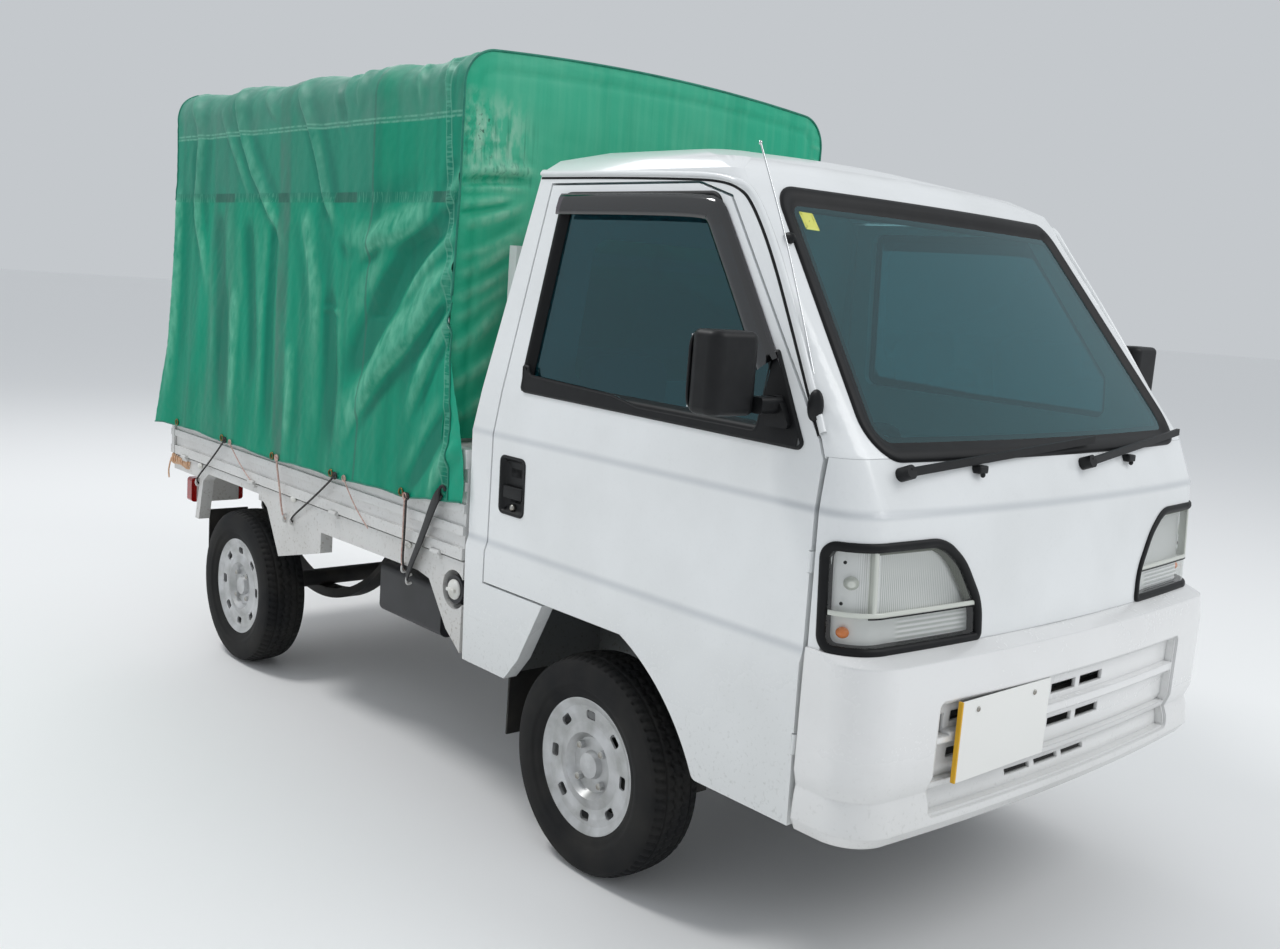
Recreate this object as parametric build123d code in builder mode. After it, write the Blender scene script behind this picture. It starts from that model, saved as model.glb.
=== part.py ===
from build123d import *
import os
from collections import namedtuple
from math import cos, radians, sin

os.makedirs("parts", exist_ok=True)

# A small cab-over-wheels lorry with a covered drop-side bed, in millimetres.
# The front faces -Y, up is +Z, and the driver's side is -X, the vehicle's own right.
# Stations along the vehicle are measured backwards from the front axle.

# Overall layout
wheelbase = 1900
front_track = 1205
rear_track = 1215
front_overhang = 852
rear_overhang = 580
rear_reach = wheelbase + rear_overhang
front_axle_y = (front_overhang - rear_reach) / 2
rear_axle_y = front_axle_y + wheelbase
sides = (("right", -1), ("left", 1))

# Clearances
seat_gap = 0.3
panel_gap = 5.5
moving_gap = 8

# Wheels
tyre_radius = 264
tyre_width = 145
rim_radius = 166
rim_width = 115
rim_metal = 4
rim_disc_offset = 34
rim_window_count = 8
rim_window_circle = 124
rim_window_height = 22
rim_window_length = 32
wheel_nut_circle = 55
wheel_nut_count = 4
hub_radius = 50
drum_radius = 105
drum_depth = 45

# Cab body
body_half_width = 697
cab_bottom_z = 368
ledge_z = 702
ledge_top_z = 727
ledge_depth = 8
bumper_top_z = 738
crease_z = 1000
screen_base_z = 1106
screen_top_z = 1608
gutter_z = 1645
roof_z = 1738
cab_rear = 486
cab_wall = 40
glass_thickness = 5
glass_step = 6
nose_rear = -652
door_rear = 398
door_top_z = 1618
pillar_top = -120
arch_front = -376
arch_rear_top = 157
arch_top_z = 618
arch_foot_radius = 24

# Floor of the cab
footwell_z = 430
seat_deck_z = 640
footwell_rear = -340
floor_thickness = 30
floor_half = body_half_width - 7 - cab_wall - panel_gap
nose_inner = -702
bulkhead_half = 430
wheel_house_x = 358
wheel_house_rear = 320
wheel_house_sheet = 6
wheel_house_bottom_z = 330

# Door hinges at the front edge of each door
door_hinge_radius = 4
door_hinge_length = 40
door_hinge_heights = (540, 900)
door_hinge_x = body_half_width - 6
door_hinge_y = nose_rear + panel_gap + 0.5
door_leaf = 4
pillar_outer = body_half_width - 29
pillar_inner = body_half_width - 65
pillar_front = nose_rear - 32
pillar_rear = nose_rear - panel_gap - 0.5

# Load bed
bed_front = cab_rear + 14
bed_rear = rear_reach - 48
floor_z = 660
deck_thickness = 40
gate_bottom_z = 656
gate_height = 289
gate_thickness = 30
gate_rear = bed_rear - gate_thickness
gate_outer_x = body_half_width
sill_half_width = body_half_width - 7
sill_bottom_z = 578
sill_thickness = 40
hinge_stand_off = 2

# Cover on its hoops
cover_half_width = body_half_width - 13
cover_shoulder_z = 1857
cover_corner_radius = 95
cover_crown_z = 1975
cover_front = bed_front + 109
cover_rear = bed_rear + 8
cover_front_hem_z = 958
cover_sheet = 5
band_z = 1580
hem_z = 764
hem_half_width = body_half_width + 15
hoop_radius = 11
hoop_count = 5
hoop_front = cover_front + 31
hoop_rear = cover_rear - 60
hoop_leg_x = body_half_width - 52
hoop_pad_width = 47
hoop_pad_length = 30
hoop_pad_height = 6

# Chassis
rail_x = 330
rail_width = 50
rail_height = 90
rail_top_z = 590
front_rail_top_z = 385
rail_drop_start = -100
rail_drop_end = -295
rail_front = -640
rail_rear = bed_rear - 52


def station(distance):
    """Place along the vehicle of a distance measured back from the front axle."""
    return front_axle_y + distance


def spread(first, last, count):
    """Evenly spaced stations, from the first to the last."""
    return [first + place * (last - first) / (count - 1) for place in range(count)]


def save(builder, label):
    """Name a finished piece and write it to its own file."""
    builder.part.label = label
    export_step(builder.part, f"parts/{label}.step")


# Plan outlines of the cab, from its lowest edge to the crown of the roof
CabSection = namedtuple("CabSection", "height half_width front sweep_back corner rear")
cab_sections = (
    CabSection(cab_bottom_z, body_half_width - 8, -812, 32, 95, cab_rear),
    CabSection(ledge_z, body_half_width, -803, 32, 95, cab_rear),
    CabSection(ledge_top_z, body_half_width - ledge_depth, -802, 32, 95, cab_rear),
    CabSection(crease_z, body_half_width - 4, -788, 35, 95, cab_rear),
    CabSection(screen_base_z, body_half_width - 15, -745, 40, 70, cab_rear - 18),
    CabSection(screen_top_z, body_half_width - 91, -357, 42, 24, cab_rear - 103),
    CabSection(gutter_z, body_half_width - 97, -325, 42, 24, cab_rear - 108),
    CabSection(gutter_z + 32, body_half_width - 145, -272, 50, 60, cab_rear - 114),
    CabSection(roof_z - 25, body_half_width - 290, -110, 50, 80, cab_rear - 130),
    CabSection(roof_z, body_half_width - 470, 90, 30, 80, cab_rear - 160),
)
least_corner = 8


def cab_form(inset):
    """Solid of the cab's outer form, drawn in on all sides by the inset."""
    with BuildPart() as form:
        for row in cab_sections:
            lowered = inset if row.height > screen_top_z else 0
            half = row.half_width - inset
            front = station(row.front) + inset
            side_front = front + row.sweep_back
            rear = station(row.rear) - inset
            corner = max(row.corner - inset, least_corner)
            bulge = corner * (1 - cos(radians(45)))
            with BuildSketch(Plane.XY.offset(row.height - lowered)):
                with BuildLine():
                    ThreePointArc((corner - half, side_front), (0, front), (half - corner, side_front))
                    ThreePointArc(
                        (half - corner, side_front),
                        (half - bulge, side_front + bulge),
                        (half, side_front + corner),
                    )
                    Polyline(
                        (half, side_front + corner),
                        (half, rear),
                        (-half, rear),
                        (-half, side_front + corner),
                    )
                    ThreePointArc(
                        (-half, side_front + corner),
                        (bulge - half, side_front + bulge),
                        (corner - half, side_front),
                    )
                make_face()
        loft(ruled=True)
    return form.part


outer_form = cab_form(0)
inner_form = cab_form(cab_wall)
glass_outer_form = cab_form(glass_step)
glass_inner_form = cab_form(glass_step + glass_thickness)


def door_outline():
    """Door opening seen from the side, with the front wheel arch along its lower edge."""
    with BuildSketch() as outline:
        with BuildLine():
            Polyline(
                (station(arch_rear_top), arch_top_z),
                (station(door_rear + 8), arch_top_z),
                (station(door_rear), crease_z),
                (station(door_rear - 66), door_top_z),
                (station(pillar_top - 60), door_top_z),
                (station(pillar_top - 165), door_top_z - 30),
                (station(nose_rear + 18), screen_base_z + 25),
                (station(nose_rear), screen_base_z - 10),
                (station(nose_rear), cab_bottom_z),
                (station(arch_front), cab_bottom_z),
            )
            ThreePointArc(
                (station(arch_front), cab_bottom_z),
                (station(-286), 504),
                (station(-126), arch_top_z),
            )
            Line((station(-126), arch_top_z), (station(arch_rear_top), arch_top_z))
        make_face()
        arch_foot = outline.vertices().group_by(Axis.Y)[0].sort_by(Axis.X)[-1]
        fillet(arch_foot, arch_foot_radius)
    return outline.sketch


door_hole = door_outline()

window_rail_z = 1135
window_top_z = 1588
sail_rear = -492
window_outline_points = (
    (door_rear - 92, window_rail_z),
    (door_rear - 126, window_top_z),
    (pillar_top - 120, window_top_z),
    (sail_rear, 1236),
    (sail_rear, window_rail_z - 8),
)
window_corner = 28
side_cut_depth = 260

# Outline of the windscreen opening, seen from the front
screen_bottom_half = body_half_width - 91
screen_top_half = body_half_width - 181
screen_corner = 55
rear_window_half = body_half_width - 267
rear_window_bottom_z = 1130
rear_window_top_z = 1500


def screen_outline(inset):
    """Windscreen seen from the front, drawn in by the inset."""
    with BuildSketch() as outline:
        with BuildLine():
            FilletPolyline(
                (-screen_bottom_half, screen_base_z),
                (-screen_top_half, screen_top_z - 4),
                (screen_top_half, screen_top_z - 4),
                (screen_bottom_half, screen_base_z),
                radius=screen_corner,
                close=True,
            )
        make_face()
        if inset:
            offset(amount=-inset)
    return outline.sketch


screen_middle = -300
cowl_z = screen_base_z - 5
arch_rear_foot = 300
arch_rear_bend = 245
arch_rear_bend_z = 460
arch_foot_z = cab_bottom_z + 29

with BuildPart() as cab_shell:
    # Outer walls and roof as one pressed shell
    add(outer_form)
    add(inner_form, mode=Mode.SUBTRACT)
    # Door openings
    with BuildSketch(Plane.YZ):
        add(door_hole)
    extrude(amount=body_half_width + 100, both=True, mode=Mode.SUBTRACT)
    # Lower nose, where the front panel and the bumper sit
    with BuildSketch(Plane.YZ):
        with BuildLine():
            Polyline(
                (station(-900), cab_bottom_z - 20),
                (station(nose_rear), cab_bottom_z - 20),
                (station(nose_rear), cowl_z),
                (station(-900), cowl_z),
                close=True,
            )
        make_face()
    extrude(amount=body_half_width + 100, both=True, mode=Mode.SUBTRACT)
    # Windscreen opening
    with BuildSketch(Plane.XZ.offset(-station(screen_middle))):
        add(screen_outline(0))
    extrude(amount=600, mode=Mode.SUBTRACT)
    # Rear window opening
    with BuildSketch(Plane.XZ.offset(-station(cab_rear + 50))):
        with Locations((0, (rear_window_bottom_z + rear_window_top_z) / 2)):
            RectangleRounded(2 * rear_window_half, rear_window_top_z - rear_window_bottom_z, 45)
    extrude(amount=220, mode=Mode.SUBTRACT)
    # Front wheel arches in the lower side panels
    with BuildSketch(Plane.YZ):
        with BuildLine():
            Polyline(
                (station(arch_front - 20), cab_bottom_z - 30),
                (station(arch_front - 20), arch_top_z),
                (station(arch_rear_top), arch_top_z),
                (station(arch_rear_bend), arch_rear_bend_z),
                (station(arch_rear_foot), arch_foot_z),
                (station(cab_rear + 40), arch_foot_z),
                (station(cab_rear + 40), cab_bottom_z - 30),
                close=True,
            )
        make_face()
    extrude(amount=body_half_width + 100, both=True, mode=Mode.SUBTRACT)
    # Open foot of the rear wall, over the chassis rails
    with BuildSketch(Plane.YZ):
        with Locations((station(cab_rear), seat_deck_z - floor_thickness - 200)):
            Rectangle(3 * cab_wall, 400)
    extrude(amount=body_half_width - cab_wall - 20, both=True, mode=Mode.SUBTRACT)
save(cab_shell, "cab_shell")

with BuildPart() as cab_floor:
    # Stepped floor: footwell, heel board, then the deck under the seats
    deck_rear = cab_rear - cab_wall - seat_gap
    with BuildSketch(Plane.YZ.offset(-floor_half)):
        with BuildLine():
            Polyline(
                (station(nose_inner), footwell_z),
                (station(footwell_rear), footwell_z),
                (station(footwell_rear), seat_deck_z),
                (station(deck_rear), seat_deck_z),
                (station(deck_rear), seat_deck_z - floor_thickness),
                (station(footwell_rear + floor_thickness), seat_deck_z - floor_thickness),
                (station(footwell_rear + floor_thickness), footwell_z - floor_thickness),
                (station(nose_inner), footwell_z - floor_thickness),
                close=True,
            )
        make_face()
    extrude(amount=2 * floor_half)
    # Upright bulkhead behind the nose, which carries the dashboard
    bulkhead_top_z = cowl_z - 30
    with Locations((0, station(nose_inner) - 10 + seat_gap, (footwell_z + bulkhead_top_z) / 2)):
        Box(2 * bulkhead_half, 20, bulkhead_top_z - footwell_z)
    # Wheel houses under the seat deck: an inner wall and a rear wall on each side
    house_top_z = seat_deck_z - floor_thickness + 2
    for side in (-1, 1):
        house_inner_x = side * (wheel_house_x + wheel_house_sheet / 2)
        house_front = footwell_rear + floor_thickness - 2
        house_length = wheel_house_rear + wheel_house_sheet - house_front
        house_height = house_top_z - wheel_house_bottom_z
        house_y = station(house_front + house_length / 2)
        with Locations((house_inner_x, house_y, house_top_z - house_height / 2)):
            Box(wheel_house_sheet, house_length, house_height)
        house_width = floor_half - wheel_house_x
        house_z = arch_foot_z + 3
        rear_wall_y = station(wheel_house_rear + wheel_house_sheet / 2)
        with Locations((side * (wheel_house_x + house_width / 2), rear_wall_y, (house_z + house_top_z) / 2)):
            Box(house_width, wheel_house_sheet, house_top_z - house_z)
    # Front pillars that carry the doors on two hinges each
    pillar_bottom_z = footwell_z - floor_thickness
    pillar_middle_x = (pillar_inner + pillar_outer) / 2
    pillar_middle_y = station((pillar_front + pillar_rear) / 2)
    for side in (-1, 1):
        with BuildSketch(Plane.XY.offset(pillar_bottom_z)):
            with Locations((side * pillar_middle_x, pillar_middle_y)):
                Rectangle(pillar_outer - pillar_inner, pillar_rear - pillar_front)
        extrude(amount=crease_z - pillar_bottom_z)
        for height in door_hinge_heights:
            with BuildSketch(Plane.XY.offset(height - door_hinge_length / 2)):
                with Locations((side * door_hinge_x, station(door_hinge_y))):
                    Circle(door_hinge_radius)
                leaf_rear = door_hinge_y - 1
                with BuildLine():
                    Polyline(
                        (side * (pillar_outer - 14), station(pillar_rear - 2)),
                        (side * pillar_outer, station(pillar_rear - 2)),
                        (side * pillar_outer, station(leaf_rear - door_leaf)),
                        (side * door_hinge_x, station(leaf_rear - door_leaf)),
                        (side * door_hinge_x, station(leaf_rear)),
                        (side * (pillar_outer - 14), station(leaf_rear)),
                        close=True,
                    )
                make_face()
            extrude(amount=door_hinge_length)
save(cab_floor, "cab_floor")

# Front panel between the bumper and the windscreen, with the two lamp openings
lamp_inner_bottom = 323
lamp_inner_top = 445
lamp_bottom_z = 728
lamp_top_z = 946
lamp_rear = -686
lamp_corner = 42
front_panel_wall = 12
front_panel_form = cab_form(front_panel_wall)


def lamp_outline(side, inset):
    """Headlamp seen from the front, wrapping outwards round the corner of the body."""
    with BuildSketch() as outline:
        with BuildLine():
            FilletPolyline(
                (side * lamp_inner_bottom, lamp_bottom_z),
                (side * (lamp_inner_bottom + 4), lamp_bottom_z + 85),
                (side * lamp_inner_top, lamp_top_z),
                (side * (body_half_width + 60), lamp_top_z - 4),
                (side * (body_half_width + 60), lamp_bottom_z),
                radius=lamp_corner,
                close=True,
            )
        make_face()
        if inset:
            offset(amount=-inset)
    return outline.sketch


with BuildPart() as front_panel:
    add(outer_form)
    add(front_panel_form, mode=Mode.SUBTRACT)
    with BuildSketch(Plane.YZ):
        with BuildLine():
            Polyline(
                (station(-900), bumper_top_z + seat_gap),
                (station(nose_rear - panel_gap), bumper_top_z + seat_gap),
                (station(nose_rear - panel_gap), cowl_z - seat_gap),
                (station(-900), cowl_z - seat_gap),
                close=True,
            )
        make_face()
    extrude(amount=body_half_width + 100, both=True, mode=Mode.INTERSECT)
    with BuildSketch(Plane.XZ.offset(-station(lamp_rear))):
        add(lamp_outline(1, 0))
        add(lamp_outline(-1, 0))
    extrude(amount=300, mode=Mode.SUBTRACT)
save(front_panel, "front_panel")

seated_form = cab_form(-seat_gap)
door_glass_step = 14
door_glass_outer = cab_form(door_glass_step)
door_glass_inner = cab_form(door_glass_step + glass_thickness)
lamp_form = cab_form(3)
lamp_back_form = cab_form(38)
for side_name, side in sides:
    with BuildPart() as headlamp:
        add(lamp_form)
        add(lamp_back_form, mode=Mode.SUBTRACT)
        with BuildSketch(Plane.XZ.offset(-station(lamp_rear - 1))):
            add(lamp_outline(side, seat_gap))
        extrude(amount=300, mode=Mode.INTERSECT)
        with BuildSketch(Plane.XY.offset(bumper_top_z + seat_gap)):
            with Locations((0, station(-700))):
                Rectangle(2 * body_half_width + 200, 600)
        extrude(amount=400, mode=Mode.INTERSECT)
    save(headlamp, f"headlamp_{side_name}")

# Bumper: a deep moulding across the nose, sunk in three channels with air slots
bumper_bottom_z = 370
bumper_wall = 14
BumperSection = namedtuple("BumperSection", "height half_width front sweep_back corner")
bumper_sections = (
    BumperSection(bumper_bottom_z, body_half_width - 17, -832, 26, 90),
    BumperSection(bumper_bottom_z + 25, body_half_width - 4, -850, 26, 100),
    BumperSection(bumper_bottom_z + 70, body_half_width - 6, -846, 26, 98),
    BumperSection(bumper_bottom_z + 92, body_half_width - 10, -838, 26, 96),
    BumperSection(bumper_bottom_z + 125, body_half_width - 1, -850, 27, 100),
    BumperSection(bumper_top_z - 70, body_half_width, -852, 28, 100),
    BumperSection(bumper_top_z - 14, body_half_width, -844, 28, 100),
    BumperSection(bumper_top_z, body_half_width - 1, -810, 32, 97),
)


def bumper_form(inset):
    """Solid of the bumper's outer form, drawn in by the inset and run on behind."""
    with BuildPart() as form:
        for row in bumper_sections:
            half = row.half_width - inset
            front_y = station(row.front) + inset
            side_front = front_y + row.sweep_back
            radius = row.corner - inset
            bulge = radius * (1 - cos(radians(45)))
            rear = station(nose_rear - panel_gap)
            with BuildSketch(Plane.XY.offset(row.height)):
                with BuildLine():
                    ThreePointArc((radius - half, side_front), (0, front_y), (half - radius, side_front))
                    ThreePointArc(
                        (half - radius, side_front),
                        (half - bulge, side_front + bulge),
                        (half, side_front + radius),
                    )
                    Polyline(
                        (half, side_front + radius),
                        (half, rear),
                        (-half, rear),
                        (-half, side_front + radius),
                    )
                    ThreePointArc(
                        (-half, side_front + radius),
                        (bulge - half, side_front + bulge),
                        (radius - half, side_front),
                    )
                make_face()
        loft(ruled=True)
    return form.part


recess_half = 490
recess_bottom_z = 410
recess_top_z = 644
recess_corner = 15
recess_lip = 6
recess_depth = 24
recess_floor = 8
channel_rows = (
    # height of the channel's lower and upper edge
    (577, 638),
    (478, 557),
    (416, 462),
)
channel_half = 482
slot_rows = (
    # start, pitch, length, count, height of the middle, slot height
    (-426, 117, 98, 5, 601, 22),
    (-480, 34, 34, 1, 590, 40),
    (-426, 117, 98, 5, 526, 20),
    (-210, 110, 92, 3, 440, 12),
)
bumper_cut_start = -900
bumper_cut_depth = 150


def bumper_band(outer_inset, inner_inset, half_width, low_z, high_z, corner=0):
    """Band of the bumper between two insets, cut to an outline seen from the front."""
    with BuildPart() as band:
        add(bumper_form(outer_inset))
        add(bumper_form(inner_inset), mode=Mode.SUBTRACT)
        with BuildSketch(Plane.XZ.offset(-station(bumper_cut_start))) as band_outline:
            with Locations((0, (low_z + high_z) / 2)):
                Rectangle(2 * half_width, high_z - low_z)
            if corner:
                fillet(band_outline.vertices(), corner)
        extrude(amount=-bumper_cut_depth, mode=Mode.INTERSECT)
    return band.part


recess_pan = bumper_band(
    bumper_wall - 1,
    recess_depth + recess_floor,
    recess_half + recess_floor,
    recess_bottom_z - recess_floor,
    recess_top_z + recess_floor,
)
recess_mouth = bumper_band(
    -30, recess_lip, recess_half, recess_bottom_z, recess_top_z, recess_corner
)
channels = [bumper_band(0, recess_depth, channel_half, low_z, high_z) for low_z, high_z in channel_rows]

with BuildPart() as bumper:
    add(bumper_form(0))
    add(bumper_form(bumper_wall), mode=Mode.SUBTRACT)
    add(recess_pan)
    add(recess_mouth, mode=Mode.SUBTRACT)
    add(channels, mode=Mode.SUBTRACT)
    with BuildSketch(Plane.XZ.offset(-station(bumper_cut_start))):
        for start, pitch, length, count, height, slot_height in slot_rows:
            for place in range(count):
                with Locations((start + place * pitch + length / 2, height)):
                    Rectangle(length, slot_height)
    extrude(amount=-bumper_cut_depth, mode=Mode.SUBTRACT)
save(bumper, "bumper")

# Glass of the cab
with BuildPart() as windscreen:
    add(glass_outer_form)
    add(glass_inner_form, mode=Mode.SUBTRACT)
    with BuildSketch(Plane.XZ.offset(-station(screen_middle))):
        add(screen_outline(seat_gap))
    extrude(amount=600, mode=Mode.INTERSECT)
save(windscreen, "windscreen")

with BuildPart() as rear_window:
    add(glass_outer_form)
    add(glass_inner_form, mode=Mode.SUBTRACT)
    with BuildSketch(Plane.XZ.offset(-station(cab_rear + 50))):
        with Locations((0, (rear_window_bottom_z + rear_window_top_z) / 2)):
            RectangleRounded(
                2 * (rear_window_half - seat_gap),
                rear_window_top_z - rear_window_bottom_z - 2 * seat_gap,
                45,
            )
    extrude(amount=220, mode=Mode.INTERSECT)
save(rear_window, "rear_window")

# Doors, each the whole thickness of the cab's wall, with window and handle recess
handle_rear = 358
handle_front = 256
handle_top_z = 955
handle_bottom_z = 811
handle_depth = 22

mirror_x = body_half_width + 95
mirror_half_width = 62
mirror_y = -478
mirror_depth = 78
mirror_bottom_z = 1160
mirror_height = 160

for side_name, side in sides:
    with BuildPart() as door:
        add(outer_form)
        add(inner_form, mode=Mode.SUBTRACT)
        with BuildSketch(Plane.YZ.offset(side * (body_half_width + 20))):
            add(door_hole)
            offset(amount=-panel_gap, kind=Kind.INTERSECTION, mode=Mode.REPLACE)
        extrude(amount=-side * side_cut_depth, mode=Mode.INTERSECT)
        with BuildSketch(Plane.YZ.offset(side * (body_half_width + 20))):
            with BuildLine():
                FilletPolyline(
                    [(station(y), z) for y, z in window_outline_points],
                    radius=window_corner,
                    close=True,
                )
            make_face()
        extrude(amount=-side * side_cut_depth, mode=Mode.SUBTRACT)
        with BuildSketch(Plane.YZ.offset(side * (body_half_width + 1))):
            with Locations(
                (station((handle_rear + handle_front) / 2), (handle_top_z + handle_bottom_z) / 2)
            ):
                RectangleRounded(handle_rear - handle_front, handle_top_z - handle_bottom_z, 16)
        extrude(amount=-side * (handle_depth + 1), mode=Mode.SUBTRACT)
        for height in door_hinge_heights:
            with BuildSketch(Plane.XY.offset(height - door_hinge_length / 2 - 2)):
                with Locations((side * door_hinge_x, station(door_hinge_y))):
                    Circle(door_hinge_radius + seat_gap)
            extrude(amount=door_hinge_length + 4, mode=Mode.SUBTRACT)
    save(door, f"door_{side_name}")

    with BuildPart() as door_glass:
        add(door_glass_outer)
        add(door_glass_inner, mode=Mode.SUBTRACT)
        with BuildSketch(Plane.YZ.offset(side * (body_half_width + 20))):
            with BuildLine():
                FilletPolyline(
                    [(station(y), z) for y, z in window_outline_points],
                    radius=window_corner,
                    close=True,
                )
            make_face()
            offset(amount=-seat_gap, mode=Mode.REPLACE)
        extrude(amount=-side * side_cut_depth, mode=Mode.INTERSECT)
    save(door_glass, f"door_glass_{side_name}")

    with BuildPart() as mirror:
        # Housing with rounded edges, then the arm down to the corner of the window
        with Locations((side * mirror_x, station(mirror_y), mirror_bottom_z + mirror_height / 2)):
            Box(2 * mirror_half_width, mirror_depth, mirror_height)
        fillet(mirror.edges().filter_by(Axis.Z), 26)
        fillet(mirror.edges().group_by(Axis.Z)[-1], 14)
        fillet(mirror.edges().group_by(Axis.Z)[0], 14)
        with BuildSketch(Plane.YZ.offset(side * (mirror_x - mirror_half_width + 10))):
            with Locations((station(-515), 1182)):
                RectangleRounded(42, 32, 8)
        extrude(amount=-side * 60)
        with BuildSketch(Plane.YZ.offset(side * (body_half_width - 40))):
            with BuildLine():
                FilletPolyline(
                    (station(-500), 1140),
                    (station(-500), 1200),
                    (station(-528), 1200),
                    (station(-568), 1140),
                    radius=8,
                    close=True,
                )
            make_face()
        extrude(amount=side * 36)
        add(seated_form, mode=Mode.SUBTRACT)
    save(mirror, f"mirror_{side_name}")

# Wheels: pressed steel rims and tyres
wheel_places = (
    # name, side, axle station, track
    ("front_right", -1, 0, front_track),
    ("front_left", 1, 0, front_track),
    ("rear_right", -1, wheelbase, rear_track),
    ("rear_left", 1, wheelbase, rear_track),
)
for wheel_name, side, axle, track in wheel_places:
    centre = Vector(side * track / 2, station(axle), tyre_radius)
    axle_plane = Plane(origin=centre, x_dir=(side, 0, 0), z_dir=(0, -side, 0))
    axle_line = Axis(centre, (1, 0, 0))
    half = tyre_width / 2
    bead = rim_width / 2 - rim_metal - seat_gap
    with BuildPart() as tyre:
        with BuildSketch(axle_plane):
            with BuildLine():
                Polyline(
                    (-half + 22, tyre_radius - 4),
                    (0, tyre_radius),
                    (half - 22, tyre_radius - 4),
                    (half - 7, tyre_radius - 14),
                )
                ThreePointArc(
                    (half - 7, tyre_radius - 14),
                    (half, tyre_radius - 52),
                    (rim_width / 2 + 1, rim_radius + 1),
                )
                Polyline(
                    (rim_width / 2 + 1, rim_radius + 1),
                    (bead, rim_radius + 1),
                    (bead, rim_radius - 7),
                    (bead - 12, rim_radius - 14 + seat_gap),
                    (bead - 16, rim_radius - 14 + seat_gap),
                    (bead - 16, rim_radius + 8),
                    (16 - bead, rim_radius + 8),
                    (16 - bead, rim_radius - 14 + seat_gap),
                    (12 - bead, rim_radius - 14 + seat_gap),
                    (-bead, rim_radius - 7),
                    (-bead, rim_radius + 1),
                    (-rim_width / 2 - 1, rim_radius + 1),
                )
                ThreePointArc(
                    (-rim_width / 2 - 1, rim_radius + 1),
                    (-half, tyre_radius - 52),
                    (7 - half, tyre_radius - 14),
                )
                Line((7 - half, tyre_radius - 14), (-half + 22, tyre_radius - 4))
            make_face()
        revolve(axis=axle_line)
    save(tyre, f"tyre_{wheel_name}")

    edge = rim_width / 2
    with BuildPart() as rim:
        with BuildSketch(axle_plane):
            with BuildLine():
                Polyline(
                    (edge, rim_radius),
                    (edge, rim_radius - 6),
                    (edge - 8, rim_radius - 22),
                    (rim_disc_offset + 16, rim_radius - 40),
                    (rim_disc_offset + 12, rim_radius - 62),
                    (rim_disc_offset + 18, 80),
                    (rim_disc_offset, 66),
                    (rim_disc_offset, 34),
                    (rim_disc_offset + 14, 30),
                    (rim_disc_offset + 18, 0),
                    (rim_disc_offset + 14, 0),
                    (rim_disc_offset + 10, 27),
                    (rim_disc_offset - rim_metal, 31),
                    (rim_disc_offset - rim_metal, 69),
                    (rim_disc_offset + 13, 83),
                    (rim_disc_offset + 7, rim_radius - 60),
                    (rim_disc_offset + 11, rim_radius - 38),
                    (rim_disc_offset, rim_radius - 22),
                    (-edge + 8, rim_radius - 20),
                    (-edge, rim_radius - 6),
                    (-edge, rim_radius),
                    (-edge + rim_metal, rim_radius),
                    (-edge + rim_metal, rim_radius - 8),
                    (-edge + 14, rim_radius - 14),
                    (edge - 14, rim_radius - 14),
                    (edge - rim_metal, rim_radius - 8),
                    (edge - rim_metal, rim_radius),
                    close=True,
                )
            make_face()
        revolve(axis=axle_line)
        face_plane = Plane(origin=centre, x_dir=(0, 1, 0), z_dir=(side, 0, 0))
        with BuildSketch(face_plane):
            with PolarLocations(rim_window_circle, rim_window_count):
                RectangleRounded(rim_window_height, rim_window_length, 7)
        extrude(amount=edge, mode=Mode.SUBTRACT)
        with BuildSketch(face_plane.offset(rim_disc_offset - 1)):
            with PolarLocations(wheel_nut_circle, wheel_nut_count, start_angle=45):
                RegularPolygon(10, 6)
        extrude(amount=14)
    save(rim, f"rim_{wheel_name}")

# Rear springs
spring_half_length = 480
spring_width = 60
spring_end_z = 462

# Steered knuckles: a strut along the kingpin, an upright inside the rim and its spindle
strut_radius = 22
kingpin_low_x = front_track / 2 - 46.5
kingpin_top_x = kingpin_low_x - 94
spindle_inner_x = kingpin_low_x - 26
kingpin_low_z = 152
kingpin_top_z = seat_deck_z - floor_thickness - seat_gap
for side_name, side in sides:
    low = Vector(side * kingpin_low_x, station(0), kingpin_low_z)
    top = Vector(side * kingpin_top_x, station(0), kingpin_top_z)
    kingpin = (top - low).normalized()
    with BuildPart() as knuckle:
        with BuildSketch(Plane(origin=low + kingpin * 240, z_dir=kingpin)):
            Circle(strut_radius)
        strut_relief = strut_radius * (kingpin_low_x - kingpin_top_x) / (kingpin_top_z - kingpin_low_z)
        extrude(amount=(top - low).length - 240 - strut_relief)
        with BuildSketch(Plane(origin=low + kingpin * 20, z_dir=kingpin)):
            Circle(16)
        extrude(amount=240)
        with BuildSketch(Plane(origin=(side * spindle_inner_x, station(0), tyre_radius), z_dir=(side, 0, 0))):
            Circle(hub_radius)
        extrude(amount=front_track / 2 + rim_disc_offset - rim_metal - seat_gap - spindle_inner_x)
    save(knuckle, f"knuckle_{side_name}")

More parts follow.
